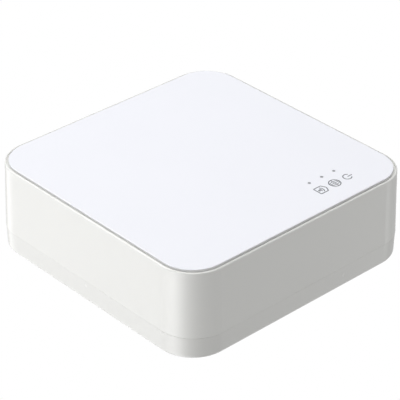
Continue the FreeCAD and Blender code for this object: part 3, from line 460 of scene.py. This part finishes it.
# Heat sink: an aluminium extrusion, cut to length and clear anodised, held by two nylon push pins.
# Extruding leaves fine lines along the fins, and anodising makes the shine soft.
def anodised_extrusion():
    """Fine drawn lines along Y, alike in the tone, the gloss and the surface."""
    line_mm = 0.35
    line_height_mm = 0.006
    line_stretch = 50
    material, tree = start_material("clear_anodised_aluminium_extrusion")
    place = add(tree, "ShaderNodeTexCoord").outputs["Object"]
    drawn = add(tree, "ShaderNodeMapping", values={"Scale": (1.0, 1 / line_stretch, 1.0)},
                links={"Vector": place})
    line = add(tree, "ShaderNodeTexNoise", values={"Scale": per_metre(line_mm), "Detail": 3.0},
               links={"Vector": drawn.outputs[0]})
    colour = add(tree, "ShaderNodeMix", {"data_type": "RGBA"},
                 {mix_from: srgb("c3c5c8"), mix_to: srgb("adb0b4")}, {mix_share: line.outputs[0]})
    rough = add(tree, "ShaderNodeMapRange", values={"To Min": 0.34, "To Max": 0.5},
                links={"Value": line.outputs[0]})
    bump = add(tree, "ShaderNodeBump", values={"Strength": 1.0, "Distance": line_height_mm / 1000},
               links={"Height": line.outputs[0]})
    shader = add(tree, "ShaderNodeBsdfPrincipled", values={"Metallic": 1.0},
                 links={"Base Color": colour.outputs[mix_colour], "Roughness": rough.outputs[0],
                        "Normal": bump.outputs[0]})
    add(tree, "ShaderNodeOutputMaterial", links={"Surface": shader.outputs[0]})
    return material


push_pin_nylon = moulded_plastic("natural_nylon_push_pin", "d8d4c6", "cbc7b8", gloss=0.45,
                                 peel_mm=0.5, peel_height_mm=0.003)
dress(anodised_extrusion(), "heat_sink")
dress(push_pin_nylon, "heat_sink_pins")


# Chips: memory, flash, transformer, regulators and radio. They are transfer moulded in black epoxy
# full of silica, which is matt with a fine speckle. A light dot by one corner marks the first lead.
def moulded_epoxy(name, light, dark):
    """Filled resin or ceramic: a fine speckle in its colour and its surface."""
    speckle_mm = 0.12
    speckle_height_mm = 0.008
    material, tree = start_material(name)
    place = add(tree, "ShaderNodeTexCoord").outputs["Object"]
    speckle = add(tree, "ShaderNodeTexNoise",
                  values={"Scale": per_metre(speckle_mm), "Detail": 4.0}, links={"Vector": place})
    colour = add(tree, "ShaderNodeMix", {"data_type": "RGBA"},
                 {mix_from: srgb(light), mix_to: srgb(dark)}, {mix_share: speckle.outputs[0]})
    bump = add(tree, "ShaderNodeBump",
               values={"Strength": 1.0, "Distance": speckle_height_mm / 1000},
               links={"Height": speckle.outputs[0]})
    shader = add(tree, "ShaderNodeBsdfPrincipled", values={"IOR": 1.55, "Roughness": 0.55},
                 links={"Base Color": colour.outputs[mix_colour], "Normal": bump.outputs[0]})
    add(tree, "ShaderNodeOutputMaterial", links={"Surface": shader.outputs[0]})
    return material


def copy_to(piece, step):
    """A copy of a finished shape, with its own mesh, that far away."""
    bpy.ops.object.select_all(action="DESELECT")
    piece.select_set(True)
    bpy.context.view_layer.objects.active = piece
    bpy.ops.object.duplicate_move(TRANSFORM_OT_translate={"value": step})
    return bpy.context.object


def first_lead_dots():
    """A round light dot near the back left corner of each large chip's body."""
    ink = 0.00001
    radius = 0.0004
    from_back = 0.0012
    from_left = {"memory_chip": 0.0012, "flash_chip": 0.0022, "network_transformer": 0.0024}
    places = []
    for name, inset in from_left.items():
        low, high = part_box(name)
        places.append(Vector((low.x + inset, high.y - from_back, high.z)))
    dot = film(places[0], radius, radius, ink)
    parts = [dot] + [copy_to(dot, place - places[0]) for place in places[1:]]
    fix_to_case("first_lead_dots", parts,
                printing_ink("light_grey_laser_mark", "b9bab6", "a5a6a2"))


black_epoxy = moulded_epoxy("black_epoxy_moulded_chip", "303032", "1f1f21")
dress(black_epoxy, "memory_chip", "flash_chip", "network_transformer", "power_regulators",
      "wifi_chip")
first_lead_dots()


# Coils, cans, crystals and chip parts: pressed ferrite, drawn aluminium, plated steel and fired
# ceramic. Each is dull or bright as its process leaves it. The chip parts have tinned ends on the
# board, and a black segment on each can's top marks its negative lead.
drawn_can = plated_metal("drawn_aluminium_can", "dfe0e1", "cbccce", gloss=0.28,
                         patch_mm=2.0, dent_mm=1.5, dent_height_mm=0.003)
crystal_can = plated_metal("nickel_plated_crystal_can", "cfcec9", "bab9b4", gloss=0.22,
                           patch_mm=1.2, dent_mm=1.0, dent_height_mm=0.003)
solder_tin = plated_metal("tin_plated_solder_ends", "d9d9d6", "c4c4c0", gloss=0.34,
                          patch_mm=0.5, dent_mm=0.3, dent_height_mm=0.004)
dress(moulded_epoxy("pressed_ferrite", "4a4a4c", "37373a"), "power_inductors")
dress(drawn_can, "filter_capacitors")
dress(crystal_can, "clock_crystals")
dress(moulded_epoxy("glazed_resistor_ceramic", "2a2a2c", "1b1b1d"), "chip_resistors")
dress(moulded_epoxy("fired_capacitor_ceramic", "a2835c", "8c6f4b"), "chip_capacitors")


def soft_block(centre, size, edge, steps):
    """A small block whose edges are rounded in so many steps."""
    piece = start_piece(bpy.ops.mesh.primitive_cube_add, size=1.0)
    bpy.ops.transform.resize(value=size, center_override=(0, 0, 0))
    bpy.ops.mesh.bevel(offset=edge, segments=steps, affect="EDGES")
    bpy.ops.mesh.select_all(action="SELECT")
    bpy.ops.transform.translate(value=centre)
    bpy.ops.object.mode_set(mode="OBJECT")
    return piece


def tinned_ends(name, node, length, width, row, middles):
    """The metal ends of small parts, which stand in like rows with their middles at these X. One
    end is made, and then repeated for the pair, the row and the other rows."""
    wrap = 0.00003
    end_length = 0.00032
    edge = 0.00006
    low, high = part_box(node)
    span = length + 2 * wrap - end_length
    end = soft_block((middles[0] - span / 2, low.y + width / 2, (low.z + high.z + wrap) / 2),
                     (end_length, width + 2 * wrap, high.z - low.z + wrap), edge, 2)
    set_in_row(end, 2, (span, 0, 0))
    set_in_row(end, *row)
    rows = [end] + [copy_to(end, (middle - middles[0], 0, 0)) for middle in middles[1:]]
    fix_to_case(name, rows, solder_tin)


def chip_ends(name, node):
    """The ends of chip parts, which stand in one row at the left of the board and two at its
    right."""
    length = 0.0016
    width = 0.0008
    chip_row = (6, Vector((0, 0.0022, 0)))
    between_rows = 0.003
    low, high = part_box(node)
    left, right = low.x + length / 2, high.x - length / 2
    tinned_ends(name, node, length, width, chip_row, (left, right - between_rows, right))


def can_segments():
    """A black segment on the left side of each capacitor's top."""
    ink = 0.00001
    can_radius = 0.00315
    rim = 0.0005
    segment_share = 0.35
    low, high = first_in_row("filter_capacitors", *can_row)
    segment = start_piece(bpy.ops.mesh.primitive_circle_add, vertices=64,
                          radius=can_radius - rim, fill_type="NGON")
    bpy.ops.mesh.bisect(plane_co=(-can_radius * segment_share, 0, 0), plane_no=(1, 0, 0),
                        clear_outer=True)
    bpy.ops.mesh.select_all(action="SELECT")
    bpy.ops.transform.translate(value=((low.x + high.x) / 2, (low.y + high.y) / 2, high.z))
    thicken(ink)
    set_in_row(segment, *can_row)
    fix_to_case("capacitor_segments", [segment],
                printing_ink("black_can_ink", "1c1c1e", "262628"))


chip_ends("resistor_ends", "chip_resistors")
chip_ends("capacitor_ends", "chip_capacitors")
can_segments()


# Radio shields and the network jacket: stamped and folded tin plated steel, bright but slightly
# smeared, as tin is.
tinned_steel = plated_metal("tin_plated_steel_sheet", "d3d2cc", "bdbcb6", gloss=0.3,
                            patch_mm=3.5, dent_mm=1.6, dent_height_mm=0.006)
dress(tinned_steel, "wifi_shield_frame", "wifi_shield_lid", "mesh_radio_shield", "network_jacket")


# Antennas: two small boards in the tray's clips, each with its thin lead, plug and socket. The
# boards have blue mask and bare gold plated tracks on the inner face, the leads a black
# fluoropolymer sheath, and the plugs are gold plated brass.
blue_mask = solder_mask("blue_solder_mask_laminate", "123062", "274a86",
                        pitch_mm=10.053, field_mm=11, via_mm=6.0)
sheath = moulded_plastic("black_fluoropolymer_sheath", "28282a", "1e1e20", gloss=0.35,
                         peel_mm=0.5, peel_height_mm=0.002, ior=1.35)
dress(blue_mask, "wifi_antenna", "mesh_antenna")
dress(sheath, "wifi_antenna_lead", "mesh_antenna_lead")
dress(gold_plate, "antenna_sockets", "antenna_plugs")


def antenna_tracks(name, board, lead, side):
    """A ground field low down, and above the lead's end a feed and a short that carry a folded arm.
    The tracks meet end to end. Each is given by its ends along the board and its lower and upper
    edge."""
    copper = 0.000035
    width = 0.0011
    arm_width = 0.0014
    past_lead = 0.003
    short_back = 1.6 * width
    short_rise = 0.0011
    field_drop = 0.0021
    field_height = 0.0042
    field_length = 0.009
    top_margin = 0.0015
    end_margin = 0.003
    fold_drop = 0.0058
    fold_length = 0.0072
    low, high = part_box(board)
    lead_low, lead_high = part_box(lead)
    face_x = high.x if side < 0 else low.x
    feed_z = (lead_low.z + lead_high.z) / 2
    last = lead_high.y + past_lead
    first = low.y + end_margin
    short = last - short_back
    field_top = feed_z - field_drop
    arm_top = high.z - top_margin
    arm_low = arm_top - arm_width
    fold_low = arm_top - fold_drop
    tracks = [
        (last - field_length, last, field_top - field_height, field_top),
        (last - width, last, field_top, arm_low),
        (short - width, short, feed_z + short_rise, arm_low),
        (first, last, arm_low, arm_top),
        (first, first + width, fold_low, arm_low),
        (first + width, first + fold_length, fold_low, fold_low + width),
    ]
    parts = [soft_block((face_x, (y0 + y1) / 2, (z0 + z1) / 2), (2 * copper, y1 - y0, z1 - z0),
                        copper / 2, 1) for y0, y1, z0, z1 in tracks]
    fix_to_case(name, parts, gold_plate)


antenna_tracks("wifi_antenna_tracks", "wifi_antenna", "wifi_antenna_lead", -1)
antenna_tracks("mesh_antenna_tracks", "mesh_antenna", "mesh_antenna_lead", 1)


# Sockets: black moulded nylon with glass fibre for the network and power sockets and the reset
# switch, gold plated springs and pin, and two clear light windows. The fibre leaves a dull grain.
def clear_plastic(name, tint, roughness, haze_mm, clearness):
    """Clear or milky moulded plastic with a slight haze from its flow."""
    uneven = 0.3
    material, tree = start_material(name)
    place = add(tree, "ShaderNodeTexCoord").outputs["Object"]
    haze = add(tree, "ShaderNodeTexNoise", values={"Scale": per_metre(haze_mm), "Detail": 3.0},
               links={"Vector": place})
    rough = add(tree, "ShaderNodeMapRange",
                values={"To Min": roughness * (1 - uneven), "To Max": roughness * (1 + uneven)},
                links={"Value": haze.outputs[0]})
    shader = add(tree, "ShaderNodeBsdfPrincipled",
                 values={"Base Color": srgb(tint), "IOR": 1.49, "Transmission Weight": clearness},
                 links={"Roughness": rough.outputs[0]})
    add(tree, "ShaderNodeOutputMaterial", links={"Surface": shader.outputs[0]})
    return material


glass_nylon = moulded_plastic("black_glass_filled_nylon", "262628", "1a1a1c", gloss=0.5,
                              peel_mm=0.35, peel_height_mm=0.006)
clear_window = clear_plastic("clear_polycarbonate_window", "c9d2c0", roughness=0.2,
                             haze_mm=1.0, clearness=0.8)
dress(glass_nylon, "network_housing", "power_socket_body", "reset_switch_body")
dress(gold_plate, "network_contacts", "power_socket_pin", "power_socket_spring")
dress(clear_window, "network_status_lights")


# Reset button and its plunger: small grey mouldings behind the back wall, sparked matt in the
# mould so that a pin doesn't slip off.
button_abs = moulded_plastic("grey_abs_sparked_button", "8b8d90", "7f8184", gloss=0.5,
                             peel_mm=0.3, peel_height_mm=0.01)
dress(button_abs, "reset_button", "reset_switch_plunger")


# Lights: three small lamps on the board in a black rubber block, under an acrylic guide whose tips
# end flush in the top plate. Each lamp is a white housing with tinned ends and a yellow lens. The
# acrylic is milky, so unlit tips look pale grey.
light_block = moulded_rubber("black_rubber_light_block", "2a2a2b", "1f1f20",
                             grain_mm=0.3, grain_height_mm=0.01)
lamp_housing = moulded_plastic("white_lamp_housing", "e8e0bc", "dcd3ac", gloss=0.35,
                               peel_mm=0.4, peel_height_mm=0.002)
milky_acrylic = clear_plastic("milky_acrylic_light_guide", "a8aaae", roughness=0.3,
                              haze_mm=1.5, clearness=0.25)
lens_silicone = clear_plastic("yellow_silicone_lens", "e0c24a", roughness=0.25,
                              haze_mm=0.3, clearness=0.3)
dress(light_block, "light_baffle")
dress(lamp_housing, "indicator_leds")
dress(milky_acrylic, "light_guide")
lamp_length = 0.002
lamp_width = 0.00125
lamp_row = (3, Vector((0, 0.00675, 0)))
lamp_low, lamp_high = first_in_row("indicator_leds", *lamp_row)
lamp_middle = (lamp_low + lamp_high) / 2


def lamp_lenses():
    """A low round dome of yellow silicone on each lamp."""
    radius = 0.0005
    rise = 0.00016
    round_edge = 0.00012
    lens = start_piece(bpy.ops.mesh.primitive_cylinder_add, vertices=40, radius=radius, depth=rise)
    select_faces(lens, lambda face: face.normal.z > 0.5)
    bpy.ops.mesh.bevel(offset=round_edge, segments=4, affect="EDGES")
    bpy.ops.mesh.select_all(action="SELECT")
    bpy.ops.transform.translate(value=(lamp_middle.x, lamp_middle.y, lamp_high.z + rise / 2))
    bpy.ops.object.mode_set(mode="OBJECT")
    set_in_row(lens, *lamp_row)
    fix_to_case("lamp_lenses", [lens], lens_silicone)


tinned_ends("lamp_ends", "indicator_leds", lamp_length, lamp_width, lamp_row, (lamp_middle.x,))
lamp_lenses()


# Upper cover: the deep upper half of the case, with bosses, ribs and a recess in its roof. Moulded
# in white ABS in a polished mould, so its sides are glossy, with a very fine orange peel.
cover_abs = moulded_plastic("white_abs_moulded_cover", "e7e7e4", "e5e5e2", gloss=0.24,
                            peel_mm=1.6, peel_height_mm=0.0010)
dress(cover_abs, "upper_cover")


# Top plate: a sheet of white acrylic with a satin face, bonded into the roof's recess by a die-cut
# adhesive sheet. It is cooler in colour than the cover, and its etched face has a very fine grain.
# Its cut sides are a darker, neutral white: partly a cut edge's duller tone, partly painted shade
# for the groove round the plate.
satin_acrylic = moulded_plastic("white_acrylic_satin_sheet", "eff0f6", "edeef4", gloss=0.4,
                                peel_mm=0.3, peel_height_mm=0.0015, ior=1.49)
foam_tape = moulded_rubber("white_acrylic_foam_tape", "dcdcd8", "cfcfcb",
                           grain_mm=0.3, grain_height_mm=0.02)
plate_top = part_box("top_plate")[1].z


def cut_edge_with_painted_shade(material, face_height, round_edge, colour):
    """Gives the sides of a sheet, below the rounded edge of its face, a darker colour: partly their
    duller tone as cut, partly painted shade for the groove round the sheet.
    """
    tree = material.node_tree
    shader = next(node for node in tree.nodes if node.type == "BSDF_PRINCIPLED")
    base = shader.inputs["Base Color"]
    face = base.links[0].from_socket
    place = add(tree, "ShaderNodeTexCoord").outputs["Object"]
    split = add(tree, "ShaderNodeSeparateXYZ", links={0: place})
    on_face = add(tree, "ShaderNodeMapRange",
                  values={"From Min": face_height - round_edge,
                          "From Max": face_height - round_edge / 2},
                  links={"Value": split.outputs[2]})
    mix = add(tree, "ShaderNodeMix", {"data_type": "RGBA"}, {mix_from: srgb(colour)},
              {mix_share: on_face.outputs[0], mix_to: face})
    tree.links.new(mix.outputs[mix_colour], base)


# The sides' darker grey is painted shade for the groove round the plate, over the cut edge's tone.
cut_edge_with_painted_shade(satin_acrylic, plate_top, round_edge=0.0002, colour="dfdfe0")
dress(satin_acrylic, "top_plate")
dress(foam_tape, "plate_tape")


# Printed marks: a house with radio waves, a globe and a power sign, pad printed in grey ink on
# the plate, one beside each light point. The ink is a thin film with softly rounded corners, and a
# stroke that crosses another is a little thicker.
ink_height = 0.00002
ink_overlap = 0.000002
stroke = 0.00045
fine_stroke = 0.00032
grey_ink = printing_ink("grey_pad_printed_ink", "6c6f74", "787b80")


def mark_place(row):
    """The middle of a mark: rows run from the front, minus one, to the back, plus one."""
    from_lights = 0.0066
    pitch = 0.00697
    shift = 0.0005
    low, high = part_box("light_guide")
    middle = (low + high) / 2
    return Vector((middle.x + from_lights, middle.y + shift + row * pitch, plate_top))


def print_line(start, finish, over=0, width=stroke):
    """A straight stroke between two points, which lies over so many other strokes."""
    run = finish - start
    return film((start + finish) / 2, run.length / 2, width / 2, ink_height + over * ink_overlap,
                width / 3, turn=math.atan2(run.y, run.x))


def print_ring(centre, reach_x, reach_y, over=0, width=stroke, keep=None):
    """A round or oval stroke, or the part of it that keep() allows."""
    return film(centre, reach_x, reach_y, ink_height + over * ink_overlap, line=width, keep=keep)


def upward_sector(centre, degrees):
    """A test for the faces that lie within so many degrees of straight up the plate from centre."""
    def inside(point):
        away = point - centre
        return abs(math.atan2(away.x, away.y)) < math.radians(degrees)
    return inside


def house_mark():
    """The outline of a house, and in it a dot under two arcs."""
    centre = mark_place(-1)
    half_width = 0.0022
    base_drop = 0.0025
    eave_rise = 0.00125
    roof_rise = 0.0023
    dot_drop = 0.0014
    dot_radius = 0.00055
    wave_radii = (0.0012, 0.0021)
    wave_half_angle = 52
    corners = [Vector((-half_width, -base_drop, 0)), Vector((half_width, -base_drop, 0)),
               Vector((half_width, eave_rise, 0)), Vector((0, roof_rise, 0)),
               Vector((-half_width, eave_rise, 0))]
    parts = [print_line(centre + corners[i - 1], centre + corners[i], i)
             for i in range(len(corners))]
    source = centre - Vector((0, dot_drop, 0))
    wave = upward_sector(source, wave_half_angle)
    parts += [print_ring(source, radius, radius, keep=wave) for radius in wave_radii]
    parts.append(film(source, dot_radius, dot_radius, ink_height))
    fix_to_case("printed_house", parts, grey_ink)


def globe_mark():
    """A circle, and in it a narrower oval, a line across and a line up."""
    centre = mark_place(0)
    reach = 0.00262
    oval_share = 0.5
    across = Vector((reach, 0, 0))
    up = Vector((0, reach, 0))
    parts = [
        print_ring(centre, reach, reach),
        print_ring(centre, reach * oval_share, reach, 1, fine_stroke),
        print_line(centre - across, centre + across, 2, fine_stroke),
        print_line(centre - up, centre + up, 3, fine_stroke),
    ]
    fix_to_case("printed_globe", parts, grey_ink)


def power_mark():
    """A circle that is open at its top, and a bar in the opening."""
    centre = mark_place(1)
    reach = 0.00198
    bar_low = Vector((0, 0.0002, 0))
    bar_high = Vector((0, 0.0026, 0))
    opening_half_angle = 37
    opening = upward_sector(centre, opening_half_angle)
    ring = print_ring(centre, reach, reach, keep=lambda point: not opening(point))
    bar = print_line(centre + bar_low, centre + bar_high)
    fix_to_case("printed_power_sign", [ring, bar], grey_ink)


house_mark()
globe_mark()
power_mark()


# Studio: a plain white floor, one large soft light from the front left, one above, one behind, a
# white card on the left that only the gloss mirrors, and a dim white surround. Nothing here belongs
# to the object.
stage_radius = 3.0


def studio_white(name, strength):
    """A pale surface that is lit evenly, so that it stays white under the object."""
    material, tree = start_material(name)
    glow = add(tree, "ShaderNodeEmission",
               values={"Color": srgb("ffffff"), "Strength": strength})
    add(tree, "ShaderNodeOutputMaterial", links={"Surface": glow.outputs[0]})
    return material


def on_stage(sheet, name, strength):
    """Makes a sheet a part of the stage, which the gloss of the object doesn't mirror."""
    sheet.name = name
    sheet.data.materials.append(studio_white(name + "_paper", strength))
    sheet.visible_glossy = False
    return sheet


def level_disc(name, drop, strength):
    """A large round sheet, that far under the object's feet."""
    bpy.ops.object.select_all(action="DESELECT")
    bpy.ops.mesh.primitive_circle_add(vertices=96, radius=stage_radius, fill_type="NGON",
                                      location=(0, 0, -drop))
    return on_stage(bpy.context.object, name, strength)


def studio_floor():
    """The floor looks pure white, and a greyer sheet just under it gives the object its light from
    below. The backdrop is seen only behind the object."""
    wall_low, wall_high = -0.1, 5.9
    level_disc("studio_floor", drop=0.00002, strength=1.0).visible_diffuse = False
    level_disc("studio_floor_bounce", drop=0.00004, strength=0.665).visible_camera = False
    bpy.ops.object.select_all(action="DESELECT")
    bpy.ops.mesh.primitive_cylinder_add(vertices=96, radius=stage_radius,
                                        depth=wall_high - wall_low, end_fill_type="NOTHING",
                                        location=(0, 0, (wall_low + wall_high) / 2))
    wall = on_stage(bpy.context.object, "studio_backdrop", strength=1.0)
    wall.visible_diffuse = False
    wall.visible_shadow = False


def soft_light(name, place, size, watts):
    """A square soft light that points at the object."""
    bpy.ops.object.light_add(type="AREA", location=place)
    light = bpy.context.object
    light.name = name
    light.data.shape = "SQUARE"
    light.data.size = size
    light.data.energy = watts
    light.rotation_euler = (-Vector(place)).to_track_quat("-Z", "Y").to_euler()
    light.visible_camera = False
    return light


def surround():
    """A dim white surround above. Below the horizon it is what the glossy sides mirror, from +X
    round to the left: dark on the right and behind, bright under the key light."""
    above = 0.5
    brightest = 6.0
    mirrored = ((0, 0.0), (48.2, 0.0), (49.2, 1.0), (54, 1.3), (60, 1.1), (67, 0.3), (83, 0.4),
                (107, 0.5), (117, 0.78), (122, 1.6), (135, 1.6), (140, 0.65), (176, 0.65),
                (182, 2.5), (225, 2.6), (238, 3.25), (250, 4.7), (262, 5.45), (273, 4.95),
                (285, 3.8), (298, 2.1), (320, 0.65), (345, 0.0), (360, 0.0))
    mix_below, mix_above = 2, 3
    world = bpy.data.worlds.new("studio_surround")
    bpy.context.scene.world = world
    world.cycles.sampling_method = "NONE"
    world.use_nodes = True
    tree = world.node_tree
    tree.nodes.clear()
    place = add(tree, "ShaderNodeTexCoord").outputs["Generated"]
    split = add(tree, "ShaderNodeSeparateXYZ", links={0: place})
    back_x, back_y = [add(tree, "ShaderNodeMath", {"operation": "MULTIPLY"}, {1: -1.0},
                          {0: split.outputs[axis]}) for axis in (0, 1)]
    angle = add(tree, "ShaderNodeMath", {"operation": "ARCTAN2"}, None,
                {0: back_y.outputs[0], 1: back_x.outputs[0]})
    turn = add(tree, "ShaderNodeMapRange", values={"From Min": -math.pi, "From Max": math.pi},
               links={"Value": angle.outputs[0]})
    ramp = add(tree, "ShaderNodeValToRGB", links={0: turn.outputs[0]})
    stops = ramp.color_ramp.elements
    while len(stops) < len(mirrored):
        stops.new(1.0)
    for stop, (degrees, strength) in zip(stops, mirrored):
        stop.position = degrees / 360
        stop.color = [strength / brightest] * 3 + [1.0]
    low = add(tree, "ShaderNodeMath", {"operation": "MULTIPLY"}, {1: brightest},
              {0: ramp.outputs[0]})
    high = add(tree, "ShaderNodeMath", {"operation": "GREATER_THAN"}, {1: 0.0},
               {0: split.outputs[2]})
    strength = add(tree, "ShaderNodeMix", values={mix_above: above},
                   links={mix_share: high.outputs[0], mix_below: low.outputs[0]})
    back = add(tree, "ShaderNodeBackground", values={"Color": srgb("ffffff")},
               links={"Strength": strength.outputs[0]})
    add(tree, "ShaderNodeOutputWorld", links={"Surface": back.outputs[0]})


def studio_camera():
    """The camera of the photograph: its direction, distance, roll and lens."""
    azimuth = 0.8274
    elevation = 0.5613
    roll = 0.0033
    distance = 0.7679
    target = Vector((0, 0, 0.0201))
    sensor = 36.0
    focal_pixels = 1926.07
    image_pixels = 400
    offset_x = -0.302
    offset_y = 3.725
    back = Vector((math.sin(azimuth) * math.cos(elevation),
                   -math.cos(azimuth) * math.cos(elevation), math.sin(elevation)))
    level = Vector((math.cos(azimuth), math.sin(azimuth), 0))
    upright = back.cross(level)
    right = level * math.cos(roll) + upright * math.sin(roll)
    up = upright * math.cos(roll) - level * math.sin(roll)
    bpy.ops.object.camera_add()
    camera = bpy.context.object
    camera.name = "studio_camera"
    turn = Matrix((right, up, back)).transposed().to_4x4()
    camera.matrix_world = Matrix.Translation(target + back * distance) @ turn
    camera.data.sensor_width = sensor
    camera.data.lens = focal_pixels / image_pixels * sensor
    camera.data.shift_x = offset_x / image_pixels
    camera.data.shift_y = offset_y / image_pixels
    camera.data.clip_start = 0.05
    camera.data.clip_end = 20
    bpy.context.scene.camera = camera


studio_floor()
soft_light("key_light", (-0.502, -0.984, 0.469), size=0.8, watts=5.3)
soft_light("top_light", (-0.32, 0.07, 1.1), size=0.8, watts=6.55)
soft_light("back_light", (0.0, 1.04, 0.6), size=0.9, watts=0.6)
soft_light("left_card", (-0.75, -0.35, 0.86), size=0.8, watts=8.5).visible_diffuse = False
surround()
studio_camera()
bpy.context.scene.view_settings.view_transform = "Standard"
